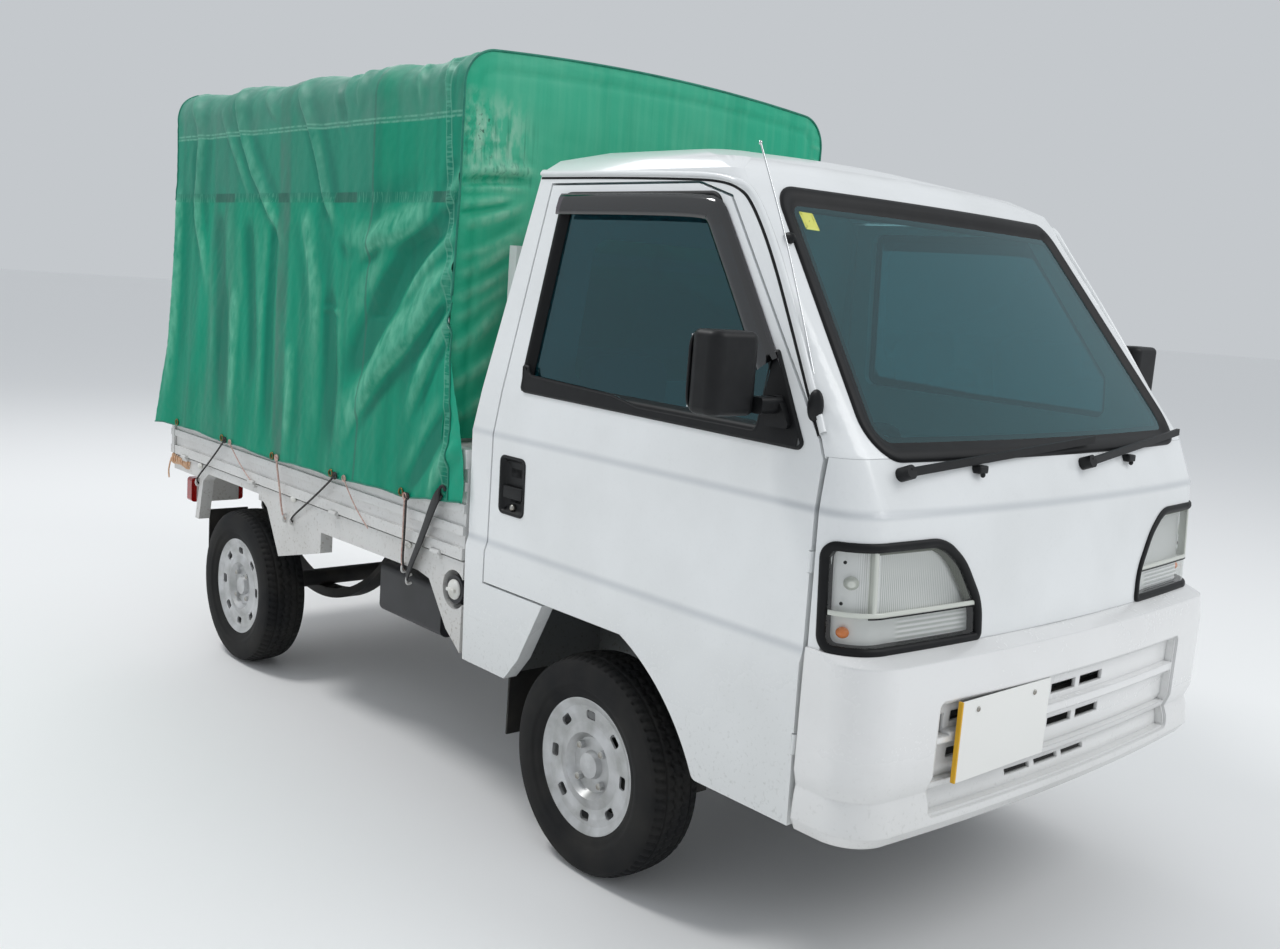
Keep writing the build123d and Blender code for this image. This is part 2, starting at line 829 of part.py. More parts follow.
cross_beam = -20
cross_beam_depth = 90
with BuildPart() as front_suspension:
    # Cross beam under the cab, and lower arms out to the ball joints of the kingpins
    with Locations((0, station(cross_beam), 250)):
        Box(2 * rail_x + rail_width, cross_beam_depth, 60)
    for side in (-1, 1):
        low = Vector(side * kingpin_low_x, station(0), kingpin_low_z)
        top = Vector(side * kingpin_top_x, station(0), kingpin_top_z)
        kingpin = (top - low).normalized()
        with BuildSketch(Plane.XY.offset(kingpin_low_z - 18)):
            with BuildLine():
                Polyline(
                    (side * (rail_x + 10), station(-60)),
                    (side * (kingpin_low_x + 22), station(-16)),
                    (side * (kingpin_low_x + 22), station(16)),
                    (side * (rail_x + 10), station(80)),
                    close=True,
                )
            make_face()
        extrude(amount=16)
        with Locations((side * rail_x, station(cross_beam), 200)):
            Box(60, 70, 110)
        with BuildSketch(Plane(origin=low - kingpin * 8, z_dir=kingpin)):
            Circle(14)
        extrude(amount=28 - seat_gap)
        with Locations((side * rail_x, station(cross_beam), (270 + rail_top_z - rail_height - seat_gap) / 2)):
            Box(44, 60, rail_top_z - rail_height - seat_gap - 270)
save(front_suspension, "front_suspension")

with BuildPart() as rear_axle:
    with BuildSketch(Plane(origin=(-rear_track / 2 + 30, rear_axle_y, tyre_radius), z_dir=(1, 0, 0))):
        Circle(30)
    extrude(amount=rear_track - 60)
    for side in (-1, 1):
        drum_face = rear_track / 2 + rim_disc_offset - rim_metal - seat_gap
        drum_plane = Plane(origin=(side * drum_face, rear_axle_y, tyre_radius), z_dir=(-side, 0, 0))
        with BuildSketch(drum_plane):
            Circle(hub_radius)
        extrude(amount=70)
        with BuildSketch(drum_plane.offset(30)):
            Circle(drum_radius)
        extrude(amount=drum_depth)
        # Leaf spring, bowed under the axle and hung from the rail at both ends
        with BuildSketch(Plane.YZ.offset(side * rail_x - spring_width / 2)):
            with BuildLine():
                ThreePointArc(
                    (rear_axle_y - spring_half_length, spring_end_z - 22),
                    (rear_axle_y, tyre_radius - 62),
                    (rear_axle_y + spring_half_length, spring_end_z - 22),
                )
                Line(
                    (rear_axle_y + spring_half_length, spring_end_z - 22),
                    (rear_axle_y + spring_half_length, spring_end_z),
                )
                ThreePointArc(
                    (rear_axle_y + spring_half_length, spring_end_z),
                    (rear_axle_y, tyre_radius - 28),
                    (rear_axle_y - spring_half_length, spring_end_z),
                )
                Line(
                    (rear_axle_y - spring_half_length, spring_end_z),
                    (rear_axle_y - spring_half_length, spring_end_z - 22),
                )
            make_face()
        extrude(amount=spring_width)
save(rear_axle, "rear_axle")

# Engine block under the bed, ahead of the rear axle, with its driveline and exhaust
engine_length = 420
engine_middle = wheelbase - 570
engine_front = engine_middle - engine_length / 2
engine_rear = engine_middle + engine_length / 2
with BuildPart() as engine:
    with Locations((0, station(engine_middle), 400)):
        Box(520, engine_length, 290)
    chamfer(engine.edges().filter_by(Axis.Y), 30)
save(engine, "engine")

gearbox_length = 170
gearbox_front = cross_beam + cross_beam_depth / 2 + seat_gap
with BuildPart() as drive_shaft:
    with BuildSketch(Plane.XZ.offset(-station(gearbox_front + gearbox_length - 15))):
        with Locations((0, 330)):
            Circle(26)
    extrude(amount=gearbox_front + gearbox_length - 15 + seat_gap - engine_front)
    with Locations((0, station(gearbox_front + gearbox_length / 2), 320)):
        Box(150, gearbox_length, 150)
    fillet(drive_shaft.edges().filter_by(Axis.Z), 30)
save(drive_shaft, "drive_shaft")

exhaust_x = 120
exhaust_z = 430
silencer_front = wheelbase + 60
silencer_length = 380
exhaust_end = wheelbase + 500
with BuildPart() as exhaust:
    with BuildSketch(Plane.XZ.offset(-station(silencer_front))):
        with Locations((exhaust_x, exhaust_z)):
            Ellipse(80, 60)
    extrude(amount=-silencer_length)
    with BuildSketch(Plane.XZ.offset(-station(engine_rear + seat_gap))):
        with Locations((exhaust_x, exhaust_z)):
            Circle(22)
    extrude(amount=engine_rear + seat_gap - exhaust_end)
save(exhaust, "exhaust")

# Fuel tank beside the right rail, with its filler behind the sill
tank_outer = body_half_width - 87
tank_middle = 880
tank_length = 330
filler_station = 540
filler_z = 570
filler_inner = sill_half_width - 90
filler_outer = sill_half_width - 18
with BuildPart() as fuel_tank:
    tank_inner = rail_x + rail_width / 2 + seat_gap
    with Locations(((-tank_outer - tank_inner) / 2, station(tank_middle), 455)):
        Box(tank_outer - tank_inner, tank_length, 150)
    fillet(fuel_tank.edges().filter_by(Axis.Y), 24)
    with BuildSketch(Plane(origin=(-filler_inner, station(filler_station), filler_z), z_dir=(-1, 0, 0))):
        Circle(27)
    extrude(amount=filler_outer - filler_inner)
    with BuildSketch(Plane(origin=(-filler_outer, station(filler_station), filler_z), z_dir=(-1, 0, 0))):
        Circle(38)
    extrude(amount=14)
    neck_start = Vector(-filler_inner - 10, station(filler_station), filler_z)
    neck_end = Vector(50 - tank_outer, station(tank_middle - tank_length / 2 + 45), 490)
    with BuildSketch(Plane(origin=neck_start, z_dir=neck_end - neck_start)):
        Circle(20)
    extrude(amount=(neck_end - neck_start).length)
save(fuel_tank, "fuel_tank")

with BuildPart() as chassis:
    for side in (-1, 1):
        with BuildSketch(Plane.YZ.offset(side * rail_x - rail_width / 2)):
            with BuildLine():
                Polyline(
                    (station(rail_rear), rail_top_z),
                    (station(rail_drop_start), rail_top_z),
                    (station(rail_drop_end), front_rail_top_z),
                    (station(rail_front), front_rail_top_z),
                    (station(rail_front), front_rail_top_z - rail_height),
                    (station(rail_drop_end), front_rail_top_z - rail_height),
                    (station(rail_drop_start), rail_top_z - rail_height),
                    (station(rail_rear), rail_top_z - rail_height),
                    close=True,
                )
            make_face()
        extrude(amount=rail_width)
        hanger_height = rail_top_z - rail_height - spring_end_z - seat_gap
        for spring_end in (-1, 1):
            hanger_y = rear_axle_y + spring_end * (spring_half_length - 25)
            with Locations((side * rail_x, hanger_y, rail_top_z - rail_height - hanger_height / 2)):
                Box(rail_width, 50, hanger_height)
    cross_members = (
        # station, height of its middle
        (rail_front + 25, front_rail_top_z - rail_height / 2),
        (bed_front + 60, rail_top_z - rail_height / 2),
        (engine_front - 60, rail_top_z - rail_height / 2),
        (engine_rear + 80, rail_top_z - rail_height / 2),
        (rail_rear - 25, rail_top_z - rail_height / 2),
    )
    for member_station, member_z in cross_members:
        with Locations((0, station(member_station), member_z)):
            Box(2 * rail_x, 50, 60)
save(chassis, "chassis")

# Tail lamps hang under the rear of the bed
lamp_place_x = body_half_width - 152
lamp_station = bed_rear - 70

# Load bed: floor, sills with the rear wheel arches, and the front board with its guard
# Hinges of the drop sides and of the tailboard
hinge_radius = 7
hinge_length = 40
side_hinge_stations = spread(bed_front + 120, bed_rear - 132, 4)
tail_hinge_reach = body_half_width - 177
tail_hinge_places = (-tail_hinge_reach, 0, tail_hinge_reach)
hinge_x = gate_outer_x + hinge_stand_off
hinge_y = station(bed_rear + hinge_stand_off)

deck_half = gate_outer_x - gate_thickness - panel_gap
rear_arch_front = wheelbase - 260
rear_arch_rear = wheelbase + 205
rear_arch_top_z = 623
bearer_stations = spread(bed_front + 200, bed_rear - 182, 4)
guard_post_x = body_half_width - 137
guard_top_z = 1450
guard_rail_z = 1200
hoop_stations = spread(hoop_front, hoop_rear, hoop_count)
with BuildPart() as bed:
    with Locations((0, station((bed_front + gate_rear) / 2 - 3), floor_z - deck_thickness / 2)):
        Box(2 * deck_half, gate_rear - bed_front - 6 - panel_gap, deck_thickness)
    for side in (-1, 1):
        with BuildSketch(Plane.YZ.offset(side * sill_half_width)):
            with BuildLine():
                Polyline(
                    (station(bed_front), gate_bottom_z - panel_gap),
                    (station(bed_rear - 20), gate_bottom_z - panel_gap),
                    (station(bed_rear - 20), sill_bottom_z + 20),
                    (station(rear_arch_rear + 75), sill_bottom_z + 20),
                    (station(rear_arch_rear + 110), sill_bottom_z - 130),
                    (station(rear_arch_rear + 78), sill_bottom_z - 130),
                    (station(rear_arch_rear + 45), sill_bottom_z + 15),
                    (station(rear_arch_rear), rear_arch_top_z),
                    (station(rear_arch_front + 65), rear_arch_top_z),
                    (station(rear_arch_front), sill_bottom_z + 10),
                    (station(rear_arch_front - 90), sill_bottom_z - 133),
                    (station(rear_arch_front - 370), sill_bottom_z - 65),
                    (station(rear_arch_front - 370), sill_bottom_z),
                    (station(bed_front + 215), sill_bottom_z + 5),
                    (station(bed_front + 160), sill_bottom_z - 5),
                    (station(bed_front + 70), sill_bottom_z - 120),
                    (station(bed_front), sill_bottom_z - 170),
                    close=True,
                )
            make_face()
            with Locations((station(filler_station), filler_z)):
                Circle(52, mode=Mode.SUBTRACT)
        extrude(amount=-side * sill_thickness)
        # Foot pads for the hoops
        for hoop in hoop_stations:
            pad_x = side * (deck_half - hoop_pad_width / 2)
            with Locations((pad_x, station(hoop), floor_z + hoop_pad_height / 2)):
                Box(hoop_pad_width, hoop_pad_length, hoop_pad_height)
        # Hinge barrels along the sill
        for hinge_station in side_hinge_stations:
            barrel_plane = Plane(
                origin=(side * hinge_x, station(hinge_station) - hinge_length / 2, gate_bottom_z),
                z_dir=(0, 1, 0),
            )
            with BuildSketch(barrel_plane):
                Circle(hinge_radius)
            extrude(amount=hinge_length)
            with Locations((side * (hinge_x - 8), station(hinge_station), gate_bottom_z - panel_gap - 5)):
                Box(16, hinge_length, 10)
    # Rear sill under the tailboard, with its hinge barrels
    with Locations((0, station(bed_rear - 32), gate_bottom_z - panel_gap - 25)):
        Box(2 * sill_half_width - 2 * sill_thickness + 10, 50, 50)
    for place in tail_hinge_places:
        with BuildSketch(Plane(origin=(place - hinge_length / 2, hinge_y, gate_bottom_z), z_dir=(1, 0, 0))):
            Circle(hinge_radius)
        extrude(amount=hinge_length)
        with Locations((place, hinge_y - 8, gate_bottom_z - panel_gap - 5)):
            Box(hinge_length, 16, 10)
    # Brackets behind the tail lamps
    for side in (-1, 1):
        with Locations((side * lamp_place_x, station(lamp_station - 3) - seat_gap, 548)):
            Box(160, 6, 146)
    # Front board and the guard frame above it
    board_top_z = gate_bottom_z + gate_height
    with Locations((0, station(bed_front + 15), (floor_z - 40 + board_top_z) / 2)):
        Box(2 * deck_half, 30, board_top_z - floor_z + 40)
    for side in (-1, 1):
        with Locations((side * guard_post_x, station(bed_front + 15), (board_top_z + guard_top_z) / 2)):
            Box(34, 30, guard_top_z - board_top_z)
    with Locations((0, station(bed_front + 15), guard_top_z)):
        Box(2 * guard_post_x + 34, 30, 34)
    with Locations((0, station(bed_front + 15), guard_rail_z)):
        Box(2 * guard_post_x, 22, 24)
    # Cross bearers down to the chassis rails
    for bearer in bearer_stations:
        with Locations((0, station(bearer), (floor_z - deck_thickness + rail_top_z + seat_gap) / 2)):
            Box(2 * deck_half, 60, floor_z - deck_thickness - rail_top_z - seat_gap)
save(bed, "bed")

# Drop sides and tailboard: one ribbed section, run along each edge of the bed
gate_channels = (
    # height above the lower edge, channel height
    (48, 34),
    (106, 34),
    (164, 34),
    (222, 34),
)
channel_depth = 8


for side_name, side in sides:
    gate_plane = Plane(
        origin=(side * gate_outer_x, station(bed_front), gate_bottom_z),
        x_dir=(side, 0, 0),
        z_dir=(0, -side, 0),
    )
    with BuildPart() as side_gate:
        with BuildSketch(gate_plane):
            with Locations((-gate_thickness / 2, gate_height / 2)):
                Rectangle(gate_thickness, gate_height)
            for height, channel in gate_channels:
                with Locations((0, height)):
                    Rectangle(2 * channel_depth, channel, mode=Mode.SUBTRACT)
        extrude(amount=-side * (gate_rear - panel_gap - bed_front))
        for hinge_station in side_hinge_stations:
            notch_start = station(hinge_station) - hinge_length / 2 - 2
            with BuildSketch(Plane(origin=(side * hinge_x, notch_start, gate_bottom_z), z_dir=(0, 1, 0))):
                Circle(hinge_radius + seat_gap)
            extrude(amount=hinge_length + 4, mode=Mode.SUBTRACT)
    save(side_gate, f"side_gate_{side_name}")

with BuildPart() as tail_gate:
    tail_plane = Plane(
        origin=(-gate_outer_x, station(bed_rear), gate_bottom_z),
        x_dir=(0, 1, 0),
        z_dir=(1, 0, 0),
    )
    with BuildSketch(tail_plane):
        with Locations((-gate_thickness / 2, gate_height / 2)):
            Rectangle(gate_thickness, gate_height)
        for height, channel in gate_channels:
            with Locations((0, height)):
                Rectangle(2 * channel_depth, channel, mode=Mode.SUBTRACT)
    extrude(amount=2 * gate_outer_x)
    for place in tail_hinge_places:
        notch_start = place - hinge_length / 2 - 2
        with BuildSketch(Plane(origin=(notch_start, hinge_y, gate_bottom_z), z_dir=(1, 0, 0))):
            Circle(hinge_radius + seat_gap)
        extrude(amount=hinge_length + 4, mode=Mode.SUBTRACT)
save(tail_gate, "tail_gate")

# Hoops that carry the cover, in two sets, with three purlins tied under their crowns
hoop_base_z = floor_z + hoop_pad_height + seat_gap
hoop_top_z = cover_crown_z - cover_sheet - hoop_radius - seat_gap
hoop_shoulder_x = cover_half_width - cover_sheet - hoop_radius - seat_gap
hoop_bend = cover_corner_radius - cover_sheet - hoop_radius - seat_gap
hoop_shoulder_z = cover_shoulder_z + hoop_bend - 3
hoop_sets = (
    # name, first hoop, hoop after the last
    ("cover_hoops_front", 0, 2),
    ("cover_hoops_rear", 2, hoop_count),
)
purlin_reach = 420
purlin_radius = 8


def hoop_centre_line(place):
    """Centre line of one hoop: splayed legs, rounded shoulders and a shallow crown."""
    with BuildLine(Plane.XZ.offset(-place)) as centre_line:
        FilletPolyline(
            (-hoop_leg_x, hoop_base_z),
            (-hoop_leg_x, 985),
            (-hoop_shoulder_x, 1300),
            (-hoop_shoulder_x, hoop_shoulder_z),
            (0, hoop_top_z),
            (hoop_shoulder_x, hoop_shoulder_z),
            (hoop_shoulder_x, 1300),
            (hoop_leg_x, 985),
            (hoop_leg_x, hoop_base_z),
            radius=hoop_bend,
        )
    return centre_line.wire()


for set_name, first_hoop, end_hoop in hoop_sets:
    with BuildPart() as hoops:
        for hoop in hoop_stations[first_hoop:end_hoop]:
            hoop_path = hoop_centre_line(station(hoop))
            with BuildSketch(Plane(origin=hoop_path @ 0, z_dir=hoop_path % 0)):
                Circle(hoop_radius)
            sweep(path=hoop_path)
    save(hoops, set_name)

with BuildPart() as purlins:
    purlin_start = station(hoop_stations[0] - hoop_radius)
    purlin_length = hoop_stations[-1] - hoop_stations[0] + 2 * hoop_radius
    for purlin_x in (-purlin_reach, 0, purlin_reach):
        hoop_height = hoop_top_z - (hoop_top_z - hoop_shoulder_z) * abs(purlin_x) / hoop_shoulder_x
        purlin_z = hoop_height - hoop_radius - purlin_radius - seat_gap
        with BuildSketch(Plane(origin=(purlin_x, purlin_start, purlin_z), z_dir=(0, 1, 0))):
            Circle(purlin_radius)
        extrude(amount=purlin_length)
save(purlins, "purlins")


def cover_outline(inset, lower_z):
    """End view of the cover: straight sides, rounded shoulders and a shallow crown."""
    half = cover_half_width - inset
    radius = cover_corner_radius - inset
    bulge = radius * (1 - cos(radians(45)))
    shoulder_top = cover_shoulder_z + radius
    with BuildSketch() as outline:
        with BuildLine():
            Polyline((half, cover_shoulder_z), (half, lower_z), (-half, lower_z), (-half, cover_shoulder_z))
            ThreePointArc(
                (-half, cover_shoulder_z),
                (bulge - half, shoulder_top - bulge),
                (radius - half, shoulder_top),
            )
            ThreePointArc(
                (radius - half, shoulder_top),
                (0, cover_crown_z - inset),
                (half - radius, shoulder_top),
            )
            ThreePointArc(
                (half - radius, shoulder_top),
                (half - bulge, shoulder_top - bulge),
                (half, cover_shoulder_z),
            )
        make_face()
    return outline.sketch


flap_roll_half = cover_half_width - 124
flap_roll_radius = 30
with BuildPart() as cover:
    with BuildSketch(Plane.XZ.offset(-station(cover_front))):
        add(cover_outline(0, band_z + seat_gap))
        add(cover_outline(cover_sheet, band_z - 50), mode=Mode.SUBTRACT)
    extrude(amount=cover_front - cover_rear)
    with BuildSketch(Plane.XZ.offset(-station(cover_front))):
        add(cover_outline(0, cover_front_hem_z))
    extrude(amount=-cover_sheet)
    # Rear flap, rolled up and tied under the rear edge
    with BuildSketch(Plane.YZ.offset(-flap_roll_half)):
        with Locations((station(cover_rear + 10), cover_crown_z - 62)):
            Circle(flap_roll_radius)
    extrude(amount=2 * flap_roll_half)
    with BuildSketch(Plane.XZ.offset(-station(cover_rear - cover_sheet))):
        add(cover_outline(0, band_z))
        with Locations((0, cover_shoulder_z + 155)):
            Rectangle(2 * cover_half_width, 200, mode=Mode.INTERSECT)
    extrude(amount=-cover_sheet)
save(cover, "cover")

for side_name, side in sides:
    with BuildPart() as curtain:
        with BuildSketch(Plane.XZ.offset(-station(bed_front - 10))):
            with BuildLine():
                Polyline(
                    (side * cover_half_width, band_z),
                    (side * hem_half_width, hem_z),
                    (side * (hem_half_width - cover_sheet), hem_z),
                    (side * (cover_half_width - cover_sheet), band_z),
                    close=True,
                )
            make_face()
        extrude(amount=bed_front - 10 - rear_reach)
        with BuildSketch(Plane.YZ.offset(side * (cover_half_width - 30))):
            with BuildLine():
                Polyline(
                    (station(cover_front + cover_sheet + seat_gap), band_z + 10),
                    (station(cover_front + cover_sheet + seat_gap), cover_front_hem_z - 6),
                    (station(bed_front), 830),
                    (station(bed_front - 4), hem_z),
                    (station(rear_reach), hem_z),
                    (station(cover_rear), band_z + 10),
                    close=True,
                )
            make_face()
        extrude(amount=side * 80, mode=Mode.INTERSECT)
    save(curtain, f"curtain_{side_name}")

# Steering axis, from the wheel's centre down through the dashboard
steer_x = -330
steer_wheel_y = -345
steer_wheel_z = 1010
steer_rake = 38
steer_wheel_radius = 185
steer_axis = Vector(0, sin(radians(steer_rake)), cos(radians(steer_rake)))
steer_centre = Vector(steer_x, station(steer_wheel_y), steer_wheel_z)
column_radius = 34
steer_shaft_radius = 12

# Cab interior
with BuildPart() as dashboard:
    with BuildSketch(Plane.YZ.offset(-(body_half_width - cab_wall - 30))):
        with BuildLine():
            FilletPolyline(
                (station(nose_inner) + 2 * seat_gap, 860),
                (station(nose_inner) + 2 * seat_gap, 1020),
                (station(-540), 1010),
                (station(-470), 960),
                (station(-490), 800),
                (station(-560), 780),
                radius=20,
                close=True,
            )
        make_face()
    extrude(amount=2 * (body_half_width - cab_wall - 30))
    # Passage for the steering column
    with BuildSketch(Plane(origin=steer_centre, z_dir=-steer_axis)):
        Circle(column_radius + seat_gap)
    extrude(amount=700, mode=Mode.SUBTRACT)
save(dashboard, "dashboard")

seat_x = 330
seat_half = 235
for side_name, side in sides:
    with BuildPart() as seat:
        with BuildSketch(Plane.YZ.offset(side * seat_x - seat_half)):
            with BuildLine():
                FilletPolyline(
                    (station(-150), seat_deck_z + seat_gap),
                    (station(-165), seat_deck_z + 125),
                    (station(255), seat_deck_z + 105),
                    (station(335), 1210),
                    (station(395), 1210),
                    (station(395), seat_deck_z + 120),
                    (station(340), seat_deck_z + seat_gap),
                    radius=24,
                    close=True,
                )
            make_face()
        extrude(amount=2 * seat_half)
    save(seat, f"seat_{side_name}")

# Steering wheel and its column on the driver's side
with BuildPart() as steering_wheel:
    rim_plane = Plane(origin=steer_centre, x_dir=(1, 0, 0), z_dir=steer_axis)
    with BuildSketch(Plane(origin=steer_centre, x_dir=(1, 0, 0), z_dir=rim_plane.y_dir)):
        with Locations((steer_wheel_radius, 0)):
            Circle(13)
    revolve(axis=Axis(steer_centre, steer_axis))
    with BuildSketch(rim_plane.offset(-30)):
        Circle(45)
    extrude(amount=36)
    with BuildSketch(rim_plane.offset(-16)):
        Rectangle(2 * steer_wheel_radius - 8, 34)
        with Locations((0, -steer_wheel_radius / 2)):
            Rectangle(34, steer_wheel_radius - 4)
    extrude(amount=14)
    with BuildSketch(rim_plane.offset(-30)):
        Circle(steer_shaft_radius)
    extrude(amount=-60)
save(steering_wheel, "steering_wheel")

with BuildPart() as steering_column:
    with BuildSketch(Plane(origin=steer_centre - steer_axis * (30 + moving_gap - 3), z_dir=-steer_axis)):
        Circle(column_radius)
        Circle(steer_shaft_radius + seat_gap, mode=Mode.SUBTRACT)
    extrude(amount=300)
    # Lower shaft, down to its seat on the bulkhead
    foot_reach = steer_wheel_y - nose_inner - 2 * seat_gap - column_radius / 2 * cos(radians(steer_rake))
    with BuildSketch(Plane(origin=steer_centre - steer_axis * 300, z_dir=-steer_axis)):
        Circle(column_radius / 2)
    extrude(amount=foot_reach / sin(radians(steer_rake)) - 300)
save(steering_column, "steering_column")

# Small outside pieces
def front_surface(low, high, x, height):
    """Place of the cab's front surface between two of its sections."""
    share = (height - low.height) / (high.height - low.height)
    front = low.front + share * (high.front - low.front)
    sweep_back = low.sweep_back + share * (high.sweep_back - low.sweep_back)
    low_span = low.half_width - low.corner
    span = low_span + share * (high.half_width - high.corner - low_span)
    return station(front + sweep_back * (x / span) ** 2)


crease_section, screen_base_section, screen_top_section = cab_sections[3:6]
wiper_rows = (
    # pivot x, tip x, tip height
    (-549, 105, 1124),
    (63, 583, 1124),
)
pivot_z = 1072
cowl_rise = screen_base_section.height - crease_section.height
cowl_run = screen_base_section.front - crease_section.front
with BuildPart() as wipers:
    for pivot_x, tip_x, tip_z in wiper_rows:
        pivot_y = front_surface(crease_section, screen_base_section, pivot_x, pivot_z)
        boss_plane = Plane(origin=(pivot_x, pivot_y - seat_gap, pivot_z), z_dir=(0, -cowl_rise, cowl_run))
        with BuildSketch(boss_plane.offset(-4)):
            Circle(14)
        extrude(amount=32)
        arm_start = boss_plane.origin + boss_plane.z_dir * 23
        tip_y = front_surface(screen_base_section, screen_top_section, tip_x, tip_z)
        arm_end = Vector(tip_x, tip_y - 26, tip_z)
        arm = arm_end - arm_start
        with BuildSketch(Plane(origin=arm_start, x_dir=(0, 1, 0), z_dir=arm)):
            Rectangle(8, 16)
        extrude(amount=arm.length)
    add(seated_form, mode=Mode.SUBTRACT)
save(wipers, "wipers")

with BuildPart() as tail_lamps:
    for side in (-1, 1):
        with Locations((side * lamp_place_x, station(lamp_station) + 20, 520)):
            Box(200, 40, 90)
    fillet(tail_lamps.edges().filter_by(Axis.Y), 12)
save(tail_lamps, "tail_lamps")

flap_sheet = 6
front_flap = wheel_house_rear + wheel_house_sheet + seat_gap + flap_sheet / 2
with BuildPart() as mud_flaps:
    for side in (-1, 1):
        rear_flap_x = sill_half_width - sill_thickness - seat_gap - 72
        with Locations((side * rear_flap_x, station(rear_arch_rear + 80), 380)):
            Box(144, flap_sheet, 200)
        front_flap_x = body_half_width - 7 - cab_wall - seat_gap - 60
        with Locations((side * front_flap_x, station(front_flap), 330)):
            Box(120, flap_sheet, 190)
save(mud_flaps, "mud_flaps")
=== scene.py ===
# %% [markdown]
# # A small covered lorry, dressed around its CAD frame
# The frame holds every rigid piece of the lorry at its real place and size. This lesson gives those
# pieces their finishes and adds what CAD leaves out: the tarpaulin, the ropes, the tyres' tread,
# the lamps' insides and the thin trim. Everything is in metres: the front faces -Y and up is +Z.

# %% The frame
import math
import random

import bmesh
import bpy
import numpy as np
from mathutils import Matrix, Vector


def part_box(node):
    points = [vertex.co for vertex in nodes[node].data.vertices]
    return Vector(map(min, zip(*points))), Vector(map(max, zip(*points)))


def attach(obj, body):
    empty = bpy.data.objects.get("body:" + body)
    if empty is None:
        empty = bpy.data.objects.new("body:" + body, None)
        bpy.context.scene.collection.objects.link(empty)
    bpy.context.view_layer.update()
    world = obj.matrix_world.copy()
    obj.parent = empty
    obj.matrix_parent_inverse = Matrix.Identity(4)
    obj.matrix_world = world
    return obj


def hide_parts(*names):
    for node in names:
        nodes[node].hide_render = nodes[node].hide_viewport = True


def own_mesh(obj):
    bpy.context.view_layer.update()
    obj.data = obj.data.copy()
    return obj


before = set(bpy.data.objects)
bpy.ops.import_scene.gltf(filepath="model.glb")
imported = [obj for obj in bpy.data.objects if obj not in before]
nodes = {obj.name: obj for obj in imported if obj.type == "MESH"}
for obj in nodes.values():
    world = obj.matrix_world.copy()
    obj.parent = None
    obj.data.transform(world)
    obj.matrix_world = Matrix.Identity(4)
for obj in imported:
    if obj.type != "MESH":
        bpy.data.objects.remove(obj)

scene = bpy.context.scene
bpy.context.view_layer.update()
mm = 0.001

# %% [markdown]
# Places along the lorry are measured back from the front axle, as its maker does. The axle's place is
# read from a front tyre, so the trim below follows the CAD if the lorry is ever made longer.

# %% Stations along the lorry
tyre_low, tyre_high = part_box("tyre_front_right")
front_axle_y = (tyre_low.y + tyre_high.y) / 2
y_mm = front_axle_y / mm
sides = (("right", -1), ("left", 1))


def station(distance_mm):
    """Place along the lorry of a distance in millimetres behind the front axle."""
    return front_axle_y + distance_mm * mm


print("front axle at", round(front_axle_y, 4))

# %% [markdown]
# ## Camera
# The camera stands where the photographer stood: at head height, ahead of the lorry's own right
# corner, tilted a little down and leaning by four degrees. The lens is a short one, as on a phone.

# %% Camera at the photographer's place
camera_place = Vector((-2.4947, station(-2139.8), 1.3956))
camera_yaw = math.radians(41.954)
camera_pitch = math.radians(-8.567)
camera_roll = math.radians(4.065)
image_width, image_height = 1280, 949
focal_pixels = 1256.1
optical_centre = (634.0, 472.1)

forward = Vector(
    (
        math.sin(camera_yaw) * math.cos(camera_pitch),
        math.cos(camera_yaw) * math.cos(camera_pitch),
        math.sin(camera_pitch),
    )
)
level_right = Vector((math.cos(camera_yaw), -math.sin(camera_yaw), 0))
level_up = level_right.cross(forward)
right = math.cos(camera_roll) * level_right + math.sin(camera_roll) * level_up
up = math.cos(camera_roll) * level_up - math.sin(camera_roll) * level_right

camera_data = bpy.data.cameras.new("camera")
camera_data.sensor_width = 36
camera_data.lens = focal_pixels / image_width * camera_data.sensor_width
camera_data.shift_x = (image_width / 2 - optical_centre[0]) / image_width
camera_data.shift_y = (optical_centre[1] - image_height / 2) / image_width
camera = bpy.data.objects.new("camera", camera_data)
scene.collection.objects.link(camera)
turn = Matrix((right, up, -forward)).transposed().to_4x4()
camera.matrix_world = Matrix.Translation(camera_place) @ turn
camera_data.clip_end = 200
scene.camera = camera
print("lens:", round(camera_data.lens, 2), "mm on a 36 mm sensor")

# %% [markdown]
# ## Colours and nodes
# Paint charts and photographs give colours as sRGB hex codes, and shaders count in linear light, so
# one function turns the first into the second. One more small function adds any shader node with
# its settings and its links, which keeps each finish below to a few readable lines.

# %% Helpers for the finishes
FACTOR, FIRST, SECOND, MIXED = 0, 6, 7, 2


def linear(hex_colour):
    """Linear RGBA of an sRGB hex colour."""
    channels = [int(hex_colour[i : i + 2], 16) / 255 for i in (1, 3, 5)]
    return [c / 12.92 if c <= 0.04045 else ((c + 0.055) / 1.055) ** 2.4 for c in channels] + [1.0]


def add_node(tree, kind, sockets=None, **settings):
    """Adds a shader node; a socket gets a plain value or the output that feeds it."""
    made = tree.nodes.new(kind)
    for setting, value in settings.items():
        setattr(made, setting, value)
    for socket, value in (sockets or {}).items():
        if isinstance(value, bpy.types.NodeSocket):
            tree.links.new(value, made.inputs[socket])
        else:
            made.inputs[socket].default_value = value
    return made


def new_finish(name, colour, roughness, **sockets):
    """A material with its Principled shader set to plain values, and its node tree."""
    finish = bpy.data.materials.new(name)
    finish.use_nodes = True
    shader = finish.node_tree.nodes["Principled BSDF"]
    shader.inputs["Base Color"].default_value = linear(colour)
    shader.inputs["Roughness"].default_value = roughness
    for socket, value in sockets.items():
        shader.inputs[socket.replace("_", " ")].default_value = value
    return finish, finish.node_tree, shader


